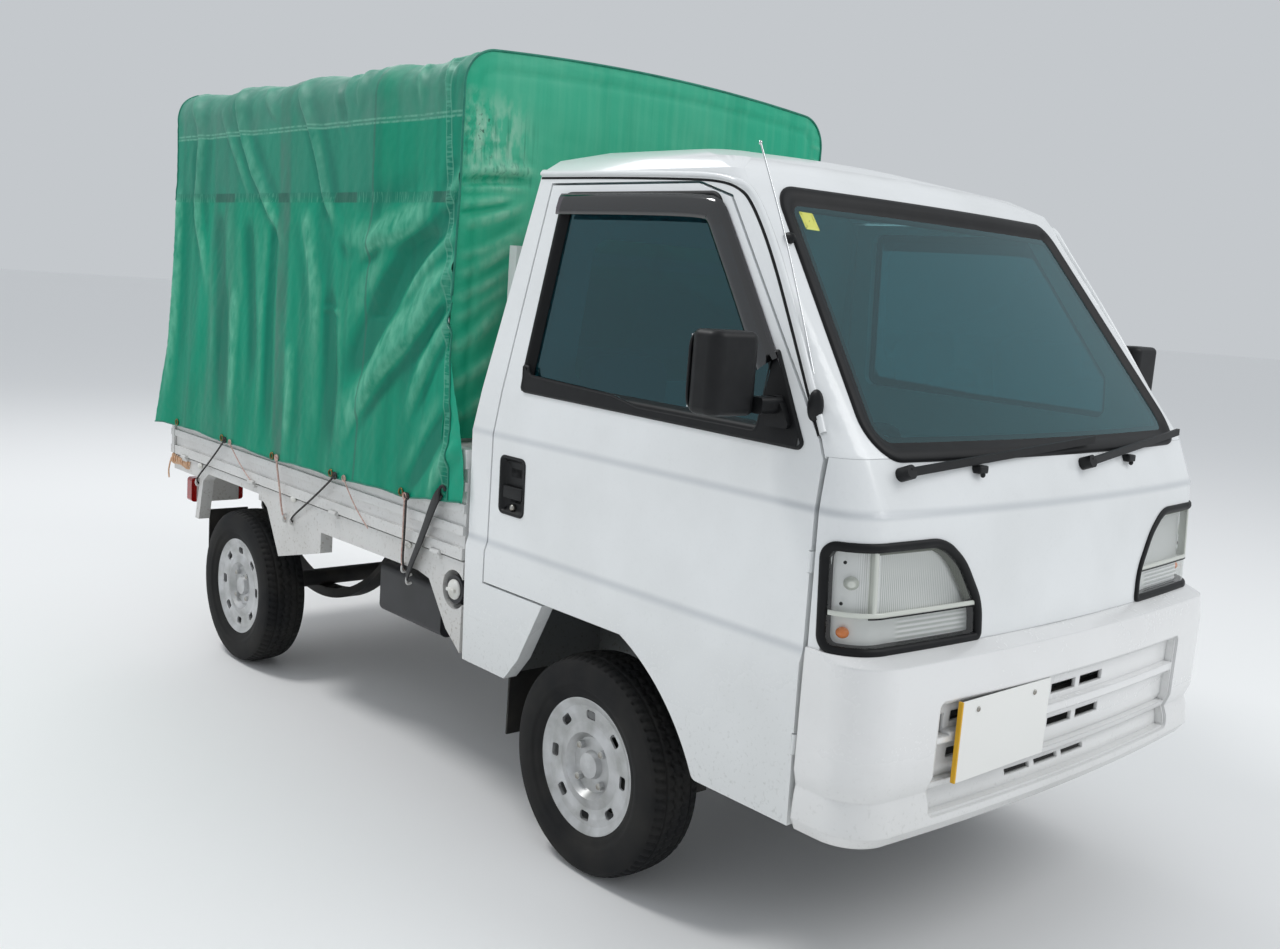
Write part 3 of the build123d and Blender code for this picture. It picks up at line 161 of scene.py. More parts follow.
def per_metre(size_mm):
    """Scale of a pattern whose repeat is that many millimetres."""
    return 1 / (size_mm * mm)


print("scale of a pattern with a repeat of 20 mm:", per_metre(20))

# %% [markdown]
# ## White body enamel
# The cab is pressed steel under sprayed and baked acrylic enamel: a dielectric of IOR about 1.5 with
# a clear top that is still glossy. Spraying leaves orange peel, a ripple a few millimetres wide.
# Twenty years outdoors leave a grey film low on the panels and faint blotches where hands rub.


# %% Dirt and pressed creases
def soil_film(tree, coords, height, soil_top, soil_share):
    """How thickly dirt covers a place: more near the ground, in blotches and in specks."""
    low = add_node(
        tree,
        "ShaderNodeMapRange",
        {"Value": height, "From Min": soil_top, "From Max": 0.3, "To Min": 0.0, "To Max": 1.0},
    ).outputs["Result"]
    blotch = add_node(
        tree, "ShaderNodeTexNoise", {"Vector": coords, "Scale": per_metre(260), "Detail": 5.0}
    ).outputs["Fac"]
    blotch = add_node(
        tree, "ShaderNodeMapRange", {"Value": blotch, "From Min": 0.42, "From Max": 0.75}
    ).outputs["Result"]
    specks = add_node(
        tree, "ShaderNodeTexNoise", {"Vector": coords, "Scale": per_metre(9), "Detail": 3.0}
    ).outputs["Fac"]
    specks = add_node(
        tree, "ShaderNodeMapRange", {"Value": specks, "From Min": 0.58, "From Max": 0.74}
    ).outputs["Result"]
    film = add_node(
        tree, "ShaderNodeMath", {0: low, 1: 0.55}, operation="MULTIPLY"
    ).outputs["Value"]
    film = add_node(
        tree, "ShaderNodeMath", {0: blotch, 1: 0.22, 2: film}, operation="MULTIPLY_ADD"
    ).outputs["Value"]
    speck_share = add_node(
        tree, "ShaderNodeMath", {0: low, 1: 0.5, 2: 0.06}, operation="MULTIPLY_ADD"
    ).outputs["Value"]
    film = add_node(
        tree, "ShaderNodeMath", {0: specks, 1: speck_share, 2: film}, operation="MULTIPLY_ADD"
    ).outputs["Value"]
    return add_node(
        tree, "ShaderNodeMath", {0: film, 1: soil_share}, operation="MULTIPLY", use_clamp=True
    ).outputs["Value"]


def pressed_creases(tree, height, creases, skin, bump):
    """Adds pressed steps at some heights to a colour and a bump, each with a painted grey line of shade along
    it.
    """
    for crease_z, half_width, depth in creases:
        away = add_node(tree, "ShaderNodeMath", {0: height, 1: crease_z}, operation="SUBTRACT").outputs[0]
        step = add_node(
            tree,
            "ShaderNodeMapRange",
            {"Value": away, "From Min": -half_width, "From Max": half_width},
            interpolation_type="SMOOTHERSTEP",
        ).outputs["Result"]
        bump = add_node(
            tree, "ShaderNodeBump", {"Height": step, "Strength": 1.0, "Distance": depth, "Normal": bump}
        ).outputs["Normal"]
        # Each crease gets a grey line of painted shade.
        near = add_node(tree, "ShaderNodeMath", {0: away}, operation="ABSOLUTE").outputs[0]
        line = add_node(
            tree,
            "ShaderNodeMapRange",
            {"Value": near, "From Min": 0.0, "From Max": 1.3 * half_width, "To Min": 0.42, "To Max": 0.0},
            interpolation_type="SMOOTHSTEP",
        ).outputs["Result"]
        skin = add_node(
            tree, "ShaderNodeMix", {FACTOR: line, FIRST: skin, SECOND: linear("#a7adb3")}, data_type="RGBA"
        ).outputs[MIXED]
    return skin, bump


print("grey of the shade in a crease:", [round(part, 2) for part in linear("#a7adb3")[:3]])

# %% [markdown]
# The enamel itself is a clear-coated paint with a fine orange peel. The bumper is curved all over, so
# its finish also rounds its edges by a few millimetres.

# %% Painted steel
def painted_steel(name, colour, soil, soil_top, gloss_roughness, soil_share, creases=(), edge_mm=0):
    """Sprayed enamel that greys towards the ground, with orange peel, rubbed patches and pressed creases with
    painted shade.
    """
    finish, tree, shader = new_finish(name, colour, gloss_roughness, IOR=1.5, Coat_Weight=0.35)
    shader.inputs["Coat Roughness"].default_value = 0.08
    coords = add_node(tree, "ShaderNodeTexCoord").outputs["Object"]
    height = add_node(tree, "ShaderNodeSeparateXYZ", {0: coords}).outputs["Z"]
    film = soil_film(tree, coords, height, soil_top, soil_share)
    skin = add_node(
        tree,
        "ShaderNodeMix",
        {FACTOR: film, FIRST: linear(colour), SECOND: linear(soil)},
        data_type="RGBA",
    ).outputs[MIXED]
    dullness = add_node(
        tree,
        "ShaderNodeMapRange",
        {"Value": film, "To Min": gloss_roughness, "To Max": 0.6},
    ).outputs["Result"]
    peel = add_node(
        tree, "ShaderNodeTexNoise", {"Vector": coords, "Scale": per_metre(14), "Detail": 1.0}
    ).outputs["Fac"]
    bump = add_node(
        tree, "ShaderNodeBump", {"Height": peel, "Strength": 0.05, "Distance": 0.4 * mm}
    )
    if edge_mm:
        soft_edge = add_node(tree, "ShaderNodeBevel", {"Radius": edge_mm * mm}, samples=6).outputs["Normal"]
        tree.links.new(soft_edge, bump.inputs["Normal"])
    skin, bump = pressed_creases(tree, height, creases, skin, bump.outputs["Normal"])
    tree.links.new(skin, shader.inputs["Base Color"])
    tree.links.new(dullness, shader.inputs["Roughness"])
    tree.links.new(bump, shader.inputs["Normal"])
    return finish


press_creases = (
    # height, half width and depth of each pressed step, in metres
    (1.001, 0.011, -0.0035),
    (0.727, 0.012, -0.0045),
)
body_enamel = painted_steel(
    "white_body_enamel", "#eceeee", "#8f9088", 0.75, 0.22, 0.5, creases=press_creases
)
bed_enamel = painted_steel("white_bed_enamel", "#e6e7e6", "#8a8072", 0.95, 0.34, 0.9)
bumper_enamel = painted_steel("white_bumper_enamel", "#ececeb", "#98988f", 0.55, 0.26, 0.45, edge_mm=7)
floor_enamel = painted_steel("grey_floor_enamel", "#7c8284", "#4d4a44", 0.9, 0.5, 1.0)
print("enamels:", body_enamel.name, bed_enamel.name, bumper_enamel.name, floor_enamel.name)

# %% [markdown]
# ## Chassis black, cast aluminium and galvanised tube
# Chassis paint is a thick satin black over rolled steel, dusted with road dirt. The engine's castings
# are bare aluminium with the grain of sand moulds, and the hoops are hot-dip galvanised tube whose
# zinc crystals show as pale patches. Metals keep the default IOR.


# %% Chassis, castings and tube
def mottled(name, colour, second, size_mm, roughness, bump_mm, **sockets):
    """A finish whose colour wanders between two tones, with a fine grain in its surface."""
    finish, tree, shader = new_finish(name, colour, roughness, **sockets)
    coords = add_node(tree, "ShaderNodeTexCoord").outputs["Object"]
    cloud = add_node(
        tree, "ShaderNodeTexNoise", {"Vector": coords, "Scale": per_metre(size_mm), "Detail": 6.0}
    ).outputs["Fac"]
    cloud = add_node(
        tree, "ShaderNodeMapRange", {"Value": cloud, "From Min": 0.35, "From Max": 0.7}
    ).outputs["Result"]
    tone = add_node(
        tree,
        "ShaderNodeMix",
        {FACTOR: cloud, FIRST: linear(colour), SECOND: linear(second)},
        data_type="RGBA",
    ).outputs[MIXED]
    grain = add_node(
        tree,
        "ShaderNodeTexNoise",
        {"Vector": coords, "Scale": per_metre(size_mm / 12), "Detail": 4.0},
    ).outputs["Fac"]
    bump = add_node(
        tree, "ShaderNodeBump", {"Height": grain, "Strength": 0.35, "Distance": bump_mm * mm}
    ).outputs["Normal"]
    tree.links.new(tone, shader.inputs["Base Color"])
    tree.links.new(bump, shader.inputs["Normal"])
    return finish


chassis_black = mottled("satin_chassis_black", "#17181a", "#3a3733", 90, 0.6, 0.4)
tank_black = mottled("satin_tank_black", "#141518", "#26262a", 120, 0.42, 0.2)
cast_aluminium = mottled("sand_cast_aluminium", "#8f9192", "#6b6a66", 60, 0.55, 0.6, Metallic=1.0)
exhaust_steel = mottled("heat_stained_steel", "#7d7468", "#5a3a26", 70, 0.6, 0.4, Metallic=0.7)
galvanised_tube = mottled("galvanised_tube", "#aab0b3", "#8b9194", 26, 0.42, 0.1, Metallic=1.0)
silver_enamel = mottled("silver_wheel_enamel", "#c9cacb", "#a4a5a3", 60, 0.36, 0.08, Metallic=0.45)
bare_zinc = mottled("zinc_plated_steel", "#b9b9b4", "#8c8377", 14, 0.38, 0.1, Metallic=1.0)
print("metals:", cast_aluminium.name, exhaust_steel.name, galvanised_tube.name, bare_zinc.name)

# %% [markdown]
# ## Black plastics and rubbers
# The mirrors, the window trim and the wipers are injection-moulded ABS with a leather-like grain.
# Seals are extruded EPDM rubber, nearly black and dull. The weather shields are smoked acrylic.

# %% Plastics and rubbers
grained_abs = mottled(
    "grained_black_abs", "#0c0d0f", "#141517", 30, 0.48, 0.12, IOR=1.53, Specular_IOR_Level=0.3
)
epdm_rubber = mottled(
    "epdm_seal_rubber", "#08090b", "#111214", 40, 0.5, 0.1, IOR=1.52, Specular_IOR_Level=0.25
)
flap_rubber = mottled("sheet_rubber", "#141414", "#2e2b27", 80, 0.72, 0.3, IOR=1.52)
tyre_rubber = mottled(
    "worn_tyre_rubber", "#121315", "#252422", 120, 0.78, 0.2, IOR=1.52, Specular_IOR_Level=0.3
)
dash_plastic = mottled("grained_grey_abs", "#7b8286", "#858c90", 40, 0.62, 0.12, IOR=1.53)
seat_vinyl = mottled("grey_seat_vinyl", "#767d83", "#858c92", 120, 0.55, 0.2, IOR=1.5)
nylon_white = mottled("moulded_white_nylon", "#e4e4e0", "#cfcdc4", 30, 0.45, 0.05, IOR=1.53)
print("plastics:", grained_abs.name, epdm_rubber.name, flap_rubber.name, tyre_rubber.name)

# %% [markdown]
# ## Glass and lenses
# Cab glass is float glass with a faint green from its iron. A window pane is too thin to bend light
# much, so it is a clear layer that lets most light through and mirrors the sky at shallow angles.
# Mixing a transparent and a glossy part by Fresnel does that without dark, noisy shadows inside.


# %% Glass and lenses
def pane(name, tint, gloss_roughness, haze=0.0, sheen="#ffffff"):
    """Thin clear sheet: a tinted transparent part under a glossy skin."""
    finish = bpy.data.materials.new(name)
    finish.use_nodes = True
    tree = finish.node_tree
    tree.nodes.clear()
    output = add_node(tree, "ShaderNodeOutputMaterial")
    clear = add_node(tree, "ShaderNodeBsdfTransparent", {"Color": linear(tint)}).outputs["BSDF"]
    gloss = add_node(
        tree, "ShaderNodeBsdfGlossy", {"Color": linear(sheen), "Roughness": gloss_roughness}
    ).outputs["BSDF"]
    edge = add_node(tree, "ShaderNodeFresnel", {"IOR": 1.52}).outputs["Fac"]
    back = add_node(tree, "ShaderNodeNewGeometry").outputs["Backfacing"]
    front = add_node(tree, "ShaderNodeMath", {0: 1.0, 1: back}, operation="SUBTRACT").outputs["Value"]
    share = add_node(
        tree, "ShaderNodeMath", {0: edge, 1: front, 2: haze}, operation="MULTIPLY_ADD", use_clamp=True
    ).outputs["Value"]
    mix = add_node(tree, "ShaderNodeMixShader", {0: share, 1: clear, 2: gloss}).outputs["Shader"]
    tree.links.new(mix, output.inputs["Surface"])
    return finish


screen_glass = pane("tinted_float_glass", "#b5d8da", 0.03, haze=0.075, sheen="#c5e4ea")
door_pane = pane("dark_tinted_glass", "#7fb0b6", 0.03, haze=0.07, sheen="#b0dae3")
smoked_acrylic = pane("smoked_acrylic", "#4d444c", 0.08, haze=0.05)
lens_clear = pane("clear_polycarbonate", "#f4f5f2", 0.05, haze=0.03)
red_lens = new_finish("red_acrylic_lens", "#a01512", 0.15, IOR=1.49, Coat_Weight=0.5)[0]
mirror_silver = new_finish("aluminised_reflector", "#e6e8e9", 0.12, Metallic=1.0)[0]
print("panes:", screen_glass.name, door_pane.name, smoked_acrylic.name, lens_clear.name)

# %% [markdown]
# ## Finishes on the frame's own pieces
# Each CAD piece takes the finish of the real one.

# %% Finishes on the frame's pieces
finish_of = {
    "cab_shell": body_enamel,
    "front_panel": body_enamel,
    "door_right": body_enamel,
    "door_left": body_enamel,
    "bumper": bumper_enamel,
    "cab_floor": floor_enamel,
    "windscreen": screen_glass,
    "rear_window": screen_glass,
    "door_glass_right": door_pane,
    "door_glass_left": door_pane,
    "headlamp_right": lens_clear,
    "headlamp_left": lens_clear,
    "mirror_right": grained_abs,
    "mirror_left": grained_abs,
    "front_suspension": chassis_black,
    "rear_axle": chassis_black,
    "knuckle_right": chassis_black,
    "knuckle_left": chassis_black,
    "engine": cast_aluminium,
    "drive_shaft": chassis_black,
    "exhaust": exhaust_steel,
    "fuel_tank": tank_black,
    "chassis": chassis_black,
    "bed": bed_enamel,
    "side_gate_right": bed_enamel,
    "side_gate_left": bed_enamel,
    "tail_gate": bed_enamel,
    "cover_hoops_front": galvanised_tube,
    "cover_hoops_rear": galvanised_tube,
    "purlins": galvanised_tube,
    "dashboard": dash_plastic,
    "seat_right": seat_vinyl,
    "seat_left": seat_vinyl,
    "steering_wheel": grained_abs,
    "steering_column": dash_plastic,
    "wipers": grained_abs,
    "tail_lamps": red_lens,
    "mud_flaps": flap_rubber,
}
for place in ("front_right", "front_left", "rear_right", "rear_left"):
    finish_of[f"rim_{place}"] = silver_enamel
    finish_of[f"tyre_{place}"] = tyre_rubber
for name, node in nodes.items():
    node.data.materials.clear()
    node.data.materials.append(finish_of.get(name, flap_rubber))
print("finished nodes:", len(finish_of))

# %% [markdown]
# Pressed sheet never has a knife edge, so the panels also get a small bevel: the triangles are first
# merged back into flat faces, and then rounded.

# %% Rounded edges
def round_edges(node, width_mm, steps=3):
    """Merges a CAD piece's triangles into flat faces and rounds its edges, as modifiers."""
    weld = node.modifiers.new("weld", "WELD")
    weld.merge_threshold = 0.02 * mm
    flat = node.modifiers.new("flat_faces", "DECIMATE")
    flat.decimate_type = "DISSOLVE"
    flat.angle_limit = math.radians(0.6)
    bevel = node.modifiers.new("rounding", "BEVEL")
    bevel.width = width_mm * mm
    bevel.segments = steps
    bevel.limit_method = "ANGLE"
    bevel.angle_limit = math.radians(24)
    bevel.use_clamp_overlap = True
    normals = node.modifiers.new("even_shading", "WEIGHTED_NORMAL")
    normals.keep_sharp = False
    node.data.shade_smooth()


rounded_pieces = (
    # node, rounding in millimetres
    ("cab_shell", 7),
    ("door_right", 4),
    ("door_left", 4),
    ("front_panel", 4),
    ("bed", 2),
    ("side_gate_right", 3),
    ("side_gate_left", 3),
    ("tail_gate", 3),
    ("dashboard", 8),
)
for name, width in rounded_pieces:
    round_edges(nodes[name], width)
print("rounded pieces:", len(rounded_pieces))

# The bumper is curved all over, so only its shading is parted at its edges and its finish rounds them.
joining = nodes["bumper"].modifiers.new("weld", "WELD")
joining.merge_threshold = 0.02 * mm
parting = nodes["bumper"].modifiers.new("hard_edges", "EDGE_SPLIT")
parting.split_angle = math.radians(22)
nodes["bumper"].modifiers.new("even_shading", "WEIGHTED_NORMAL").keep_sharp = True
nodes["bumper"].data.shade_smooth()

# The hinge barrels beside the doors belong to the floor piece but are painted white.
floor_mesh = nodes["cab_floor"].data
floor_mesh.materials.append(body_enamel)
for face in floor_mesh.polygons:
    if abs(face.center.x) > 0.655:
        face.material_index = 1

# %% [markdown]
# ## The tarpaulin's shape
# The cover is PVC-coated polyester half a millimetre thick, sewn from panels and drawn over five hoops.
# Its end view is a box with rounded shoulders and a shallow crown. A point of the cloth is given by its
# station and by t, the distance up the cloth: on the sides t is simply the height, and it runs on
# round the shoulder and over to the crown. A fold can then be written as a line of (station, t).

# %% End view of the cover
band_t, hem_t, shoulder_t, crown_z = 1580, 764, 1857, 1975
cover_half, hem_half, shoulder_radius, crown_radius = 684, 712, 95, 7553
shoulder_middle = cover_half - shoulder_radius
corner_lean = math.asin(shoulder_middle / (crown_radius - shoulder_radius))
corner_end_t = shoulder_t + shoulder_radius * (math.pi / 2 - corner_lean)
crown_t = corner_end_t + crown_radius * corner_lean


def cover_section(t):
    """Distance out, height and outward direction of the cloth at each t."""
    drop = np.clip((band_t - t) / (band_t - hem_t), 0, 1.2)
    turn = np.clip((t - shoulder_t) / shoulder_radius, 0, math.pi / 2 - corner_lean)
    lean = corner_lean - np.clip(t - corner_end_t, 0, crown_t - corner_end_t) / crown_radius
    on_crown = t > corner_end_t
    side_out = shoulder_middle + shoulder_radius * np.cos(turn) + (hem_half - cover_half) * drop
    side_up = np.minimum(t, shoulder_t) + shoulder_radius * np.sin(turn)
    crown_middle = shoulder_t - (crown_radius - shoulder_radius) * math.cos(corner_lean)
    out = np.where(on_crown, crown_radius * np.sin(lean), side_out)
    up = np.where(on_crown, crown_middle + crown_radius * np.cos(lean), side_up)
    angle = np.where(on_crown, math.pi / 2 - lean, turn)
    return out, up, np.cos(angle), np.sin(angle)


print("cloth from hem to crown:", round(crown_t - hem_t), "mm")

# %% [markdown]
# ## Folds
# Cloth pulled from a few points folds in long soft ridges that start sharp where they are pulled and
# die out. Each fold here is a line with a height, and a width on its rear and on its front side. Its
# section is a rounded ridge with a shallow valley beside it. Broad waves and a fine crumple come from
# a few sine waves with seeded lengths and directions, which suits cloth better than cloudy noise.


# %% Folds and waves
def rounded_line(points, passes=2):
    """Cuts the corners off a line of points, so that a fold along it bends smoothly."""
    line = np.array(points, float)
    for _ in range(passes):
        first, last = line[:-1], line[1:]
        cut = np.stack([first * 0.75 + last * 0.25, first * 0.25 + last * 0.75], 1)
        cut = cut.reshape(-1, line.shape[1])
        line = np.vstack([line[:1], cut[1:-1], line[-1:]])
    return line


def fold_push(across, up, folds):
    """Outward push of the cloth from a table of folds, in millimetres."""
    push = np.zeros_like(across)
    for height, rear_width, front_width, points in folds:
        line = rounded_line(points)
        lengths = np.hypot(*np.diff(line, axis=0).T)
        reach = 3.2 * max(rear_width, front_width)
        low, high = line.min(0) - reach, line.max(0) + reach
        near = (across > low[0]) & (across < high[0]) & (up > low[1]) & (up < high[1])
        here, above = across[near], up[near]
        nearest = np.full_like(here, 1e9)
        place, flank, done = np.zeros_like(here), np.zeros_like(here), 0.0
        for (x0, y0), (x1, y1), length in zip(line[:-1], line[1:], lengths):
            dx, dy = (x1 - x0) / length, (y1 - y0) / length
            run = np.clip((here - x0) * dx + (above - y0) * dy, 0, length)
            away_x, away_y = here - x0 - run * dx, above - y0 - run * dy
            distance = np.hypot(away_x, away_y)
            closer = distance < nearest
            place = np.where(closer, done + run, place)
            flank = np.where(closer, dx * away_y - dy * away_x, flank)
            nearest = np.where(closer, distance, nearest)
            done += length
        share = place / done
        taper = np.clip(share / 0.15, 0, 1) * np.clip((1 - share) / 0.4, 0, 1)
        taper = taper * taper * (3 - 2 * taper)
        offset = nearest / np.where(flank > 0, rear_width, front_width)
        push[near] += height * taper * (np.exp(-(offset**2)) - 0.3 * np.exp(-((offset - 1.9) ** 2)))
    return push


def waves(across, up, length, lean, spread, count, seed):
    """Sum of sine waves near one length and direction, of about unit height."""
    chance = random.Random(seed)
    total = np.zeros_like(across)
    for _ in range(count):
        angle = math.radians(lean + chance.uniform(-spread, spread))
        rate = 2 * math.pi / (length * chance.uniform(0.7, 1.5))
        phase = chance.uniform(0, 2 * math.pi)
        total += np.sin(rate * (across * math.cos(angle) + up * math.sin(angle)) + phase)
    return total / math.sqrt(count)


print("a wave at three places:", waves(np.array([0.0, 50.0, 100.0]), np.zeros(3), 165, 4, 9, 7, 11).round(2))

# %% [markdown]
# The folds of the right side are read off the photo, each with its own height and two widths. The left
# side isn't seen, so it has the same folds, moved and weakened by a seeded draw.

# %% Folds of the two sides
right_folds = (
    # height, rear width, front width, line of (station, t) from its pulled end
    (10, 18, 32, ((2395, 1990), (2321, 1918), (2235, 1815), (2250, 1681), (2262, 1534), (2191, 1387),
                  (2118, 1222))),
    (11, 15, 30, ((2010, 1995), (1943, 1900), (1902, 1791), (1814, 1662), (1707, 1556), (1604, 1462),
                  (1526, 1388))),
    (6, 13, 22, ((2085, 1890), (2021, 1796), (1920, 1694), (1807, 1536))),
    (6, 12, 22, ((1800, 1965), (1761, 1899), (1700, 1850), (1640, 1800))),
    (11, 14, 28, ((1545, 1975), (1487, 1873), (1422, 1790), (1366, 1681), (1300, 1539), (1209, 1434),
                  (1150, 1379))),
    (-7, 14, 20, ((1300, 1960), (1268, 1878), (1235, 1799), (1200, 1740))),
    (5, 12, 20, ((1180, 1980), (1150, 1890), (1135, 1800))),
    (5, 14, 18, ((880, 1975), (830, 1880), (800, 1790))),
    (6, 12, 16, ((720, 1960), (690, 1880), (672, 1790))),
    (-5, 16, 24, ((1310, 1552), (1230, 1460), (1150, 1379))),
    (5, 24, 16, ((955, 1507), (1017, 1456), (1130, 1385))),
    (8, 48, 26, ((600, 1515), (760, 1506), (925, 1484), (1040, 1462), (1150, 1460), (1250, 1490))),
    (-12, 50, 42, ((590, 1550), (706, 1495), (806, 1429), (908, 1326), (998, 1211), (1069, 1004))),
    (14, 62, 24, ((590, 1378), (690, 1314), (745, 1246), (863, 1162), (955, 1086), (1083, 949), (1150, 850))),
    (7, 34, 16, ((585, 1497), (701, 1440), (843, 1313), (903, 1260))),
    (9, 32, 15, ((582, 1304), (639, 1230), (692, 1153), (757, 1032), (790, 960))),
    (7, 22, 12, ((590, 1420), (650, 1360), (720, 1270))),
    (-8, 26, 22, ((560, 1040), (644, 948), (697, 866), (753, 798), (770, 765))),
    (8, 22, 18, ((520, 960), (590, 900), (625, 830), (640, 765))),
    (6, 22, 12, ((590, 1650), (640, 1590), (690, 1530))),
    (-6, 48, 32, ((1262, 1330), (1250, 1237), (1209, 1060), (1199, 787))),
    (-6, 22, 34, ((1650, 1560), (1654, 1210), (1617, 791), (1610, 740))),
    (-7, 32, 46, ((2085, 1560), (2032, 1289), (1972, 900), (1960, 800))),
    (8, 30, 42, ((2425, 1660), (2405, 1271), (2430, 900), (2440, 790))),
    (6, 30, 46, ((1450, 1560), (1373, 1357), (1326, 1232), (1320, 1100))),
    (-5, 30, 36, ((1853, 1540), (1794, 1300), (1759, 1104), (1750, 900))),
    (3, 9, 8, ((1300, 1256), (1240, 1252), (1160, 1248))),
    (5, 40, 30, ((1900, 1300), (1890, 1100), (1900, 800))),
    (5, 34, 30, ((1490, 1150), (1470, 950), (1480, 770))),
)
chance = random.Random(7)
left_folds = [
    (
        height * chance.uniform(0.7, 1.1),
        rear_width,
        front_width,
        [
            (place + (place - 590) * 0.12 + (0 if points[0][0] < 640 else shift), t)
            for place, t in points
        ],
    )
    for (height, rear_width, front_width, points), shift in zip(
        right_folds, [chance.uniform(-150, 60) for _ in right_folds]
    )
]
print("folds on each side:", len(right_folds), len(left_folds))

# %% [markdown]
# Broad and fine waves lie over the folds. Between two hoops the cloth sags, less where a purlin holds
# it, and no fold sinks it below the hoops.

# %% How far the cloth stands out
hoop_front, hoop_pitch = 640, 435


def cloth_push(place, t, side):
    """How far the cloth stands out from its even shape at a station and t, on one side."""
    push = 1.45 * fold_push(place, t, right_folds if side < 0 else left_folds)
    arc = side * (crown_t - t)
    bay = np.clip((place - hoop_front) / hoop_pitch, 0, 4)
    sag = np.sin(math.pi * (bay - np.floor(bay))) ** 2
    purlin = np.maximum(np.exp(-(((crown_t - t) / 70) ** 2)), np.exp(-(((crown_t - 420 - t) / 70) ** 2)))
    depth = np.interp(t, (1250, band_t, shoulder_t, corner_end_t, crown_t), (0, 4, 7, 15, 15))
    push -= depth * sag * (1 - 0.55 * purlin)
    loose = np.interp(t, (900, 1300, band_t, shoulder_t, 2080), (1.0, 1.0, 0.35, 0.45, 0.4))
    push += 2.6 * loose * waves(place, arc, 165, 4, 9, 7, 11)
    push += 1.1 * waves(place, arc, 70, 8, 24, 9, 12) * (0.5 + 0.5 * waves(place, arc, 420, 30, 90, 4, 13))
    push += 0.45 * waves(place, arc, 30, 0, 90, 12, 14)
    near_hoop = np.exp(-(((bay - np.round(bay)) * hoop_pitch / 30) ** 2))
    floor_push = np.where(t > 1250, -4.5 - 14 * (1 - near_hoop), np.interp(t, (960, 1250), (-3.0, -9.0)))
    return np.maximum(push, floor_push)


def fold_mark(across, up, folds):
    """Where the folds stand proud, 1 on a strong ridge, and where they sink, down to -1."""
    strength = [(height / 8, rear * 1.1, front * 0.9, line) for height, rear, front, line in folds]
    return np.clip(1.5 * fold_push(across, up, strength), -1, 1)


hoop_and_bay = np.array([hoop_front, hoop_front + hoop_pitch / 2])
print("push at a hoop and between two:", cloth_push(hoop_and_bay, np.full(2, 1900.0), -1).round(1))

# %% [markdown]
# ## Sheets
# Each sheet is a grid of points pushed along the cloth's outward direction. The top sheet runs from
# the seam band on one side over the crown to the other, and the two curtains hang from those bands,
# splay out over the drop sides and end in a hem that dips towards each eyelet. Because the push is
# one function of station and t, a fold that crosses the band goes on without a step.


# %% Grids and the top sheet
def grid_mesh(name, points, finish, body="root", mark=None):
    """A smooth sheet through a grid of points in millimetres, riding on a body, with a mark at each point."""
    rows, columns = points.shape[:2]
    index = np.arange(rows * columns).reshape(rows, columns)
    quads = np.stack([index[:-1, :-1], index[:-1, 1:], index[1:, 1:], index[1:, :-1]], -1).reshape(-1, 4)
    mesh = bpy.data.meshes.new(name)
    mesh.from_pydata((points.reshape(-1, 3) * mm).tolist(), [], quads.tolist())
    mesh.shade_smooth()
    mesh.materials.append(finish)
    if mark is not None:
        marks = mesh.attributes.new("mark", "FLOAT", "POINT")
        values = np.broadcast_to(mark, (rows, columns)).astype("f")
        marks.data.foreach_set("value", values.ravel())
    sheet = bpy.data.objects.new(name, mesh)
    scene.collection.objects.link(sheet)
    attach(sheet, body)
    return sheet


def cloth_points(place, t, side, extra_out=0.0):
    """Points of the cloth at stations and t on one side, in millimetres."""
    out, up, out_share, up_share = cover_section(t)
    push = cloth_push(place, t, side) + extra_out
    across = side * (out + push * out_share)
    return np.stack([across, place + y_mm, up + push * up_share], -1)


cover_front, cover_rear = 609, 2440
half_t = np.linspace(band_t - 8, crown_t, 116)
top_places = np.linspace(cover_front, cover_rear, 204)
place_grid, t_grid = np.meshgrid(top_places, half_t, indexing="ij")
right_half = cloth_points(place_grid, t_grid, -1)
left_half = cloth_points(place_grid, t_grid, 1)
top_points = np.concatenate([right_half, left_half[:, -2::-1]], 1)
top_marks = [fold_mark(place_grid, t_grid, folds) for folds in (right_folds, left_folds)]
top_mark = np.concatenate([top_marks[0], top_marks[1][:, -2::-1]], 1)

print("points of the top sheet:", top_points.shape[:2])

# %% [markdown]
# The front face stands in one plane and its upper edge follows the same end view. Its creases run
# inwards from the corner seam, and the cloth is puckered along the seam itself.

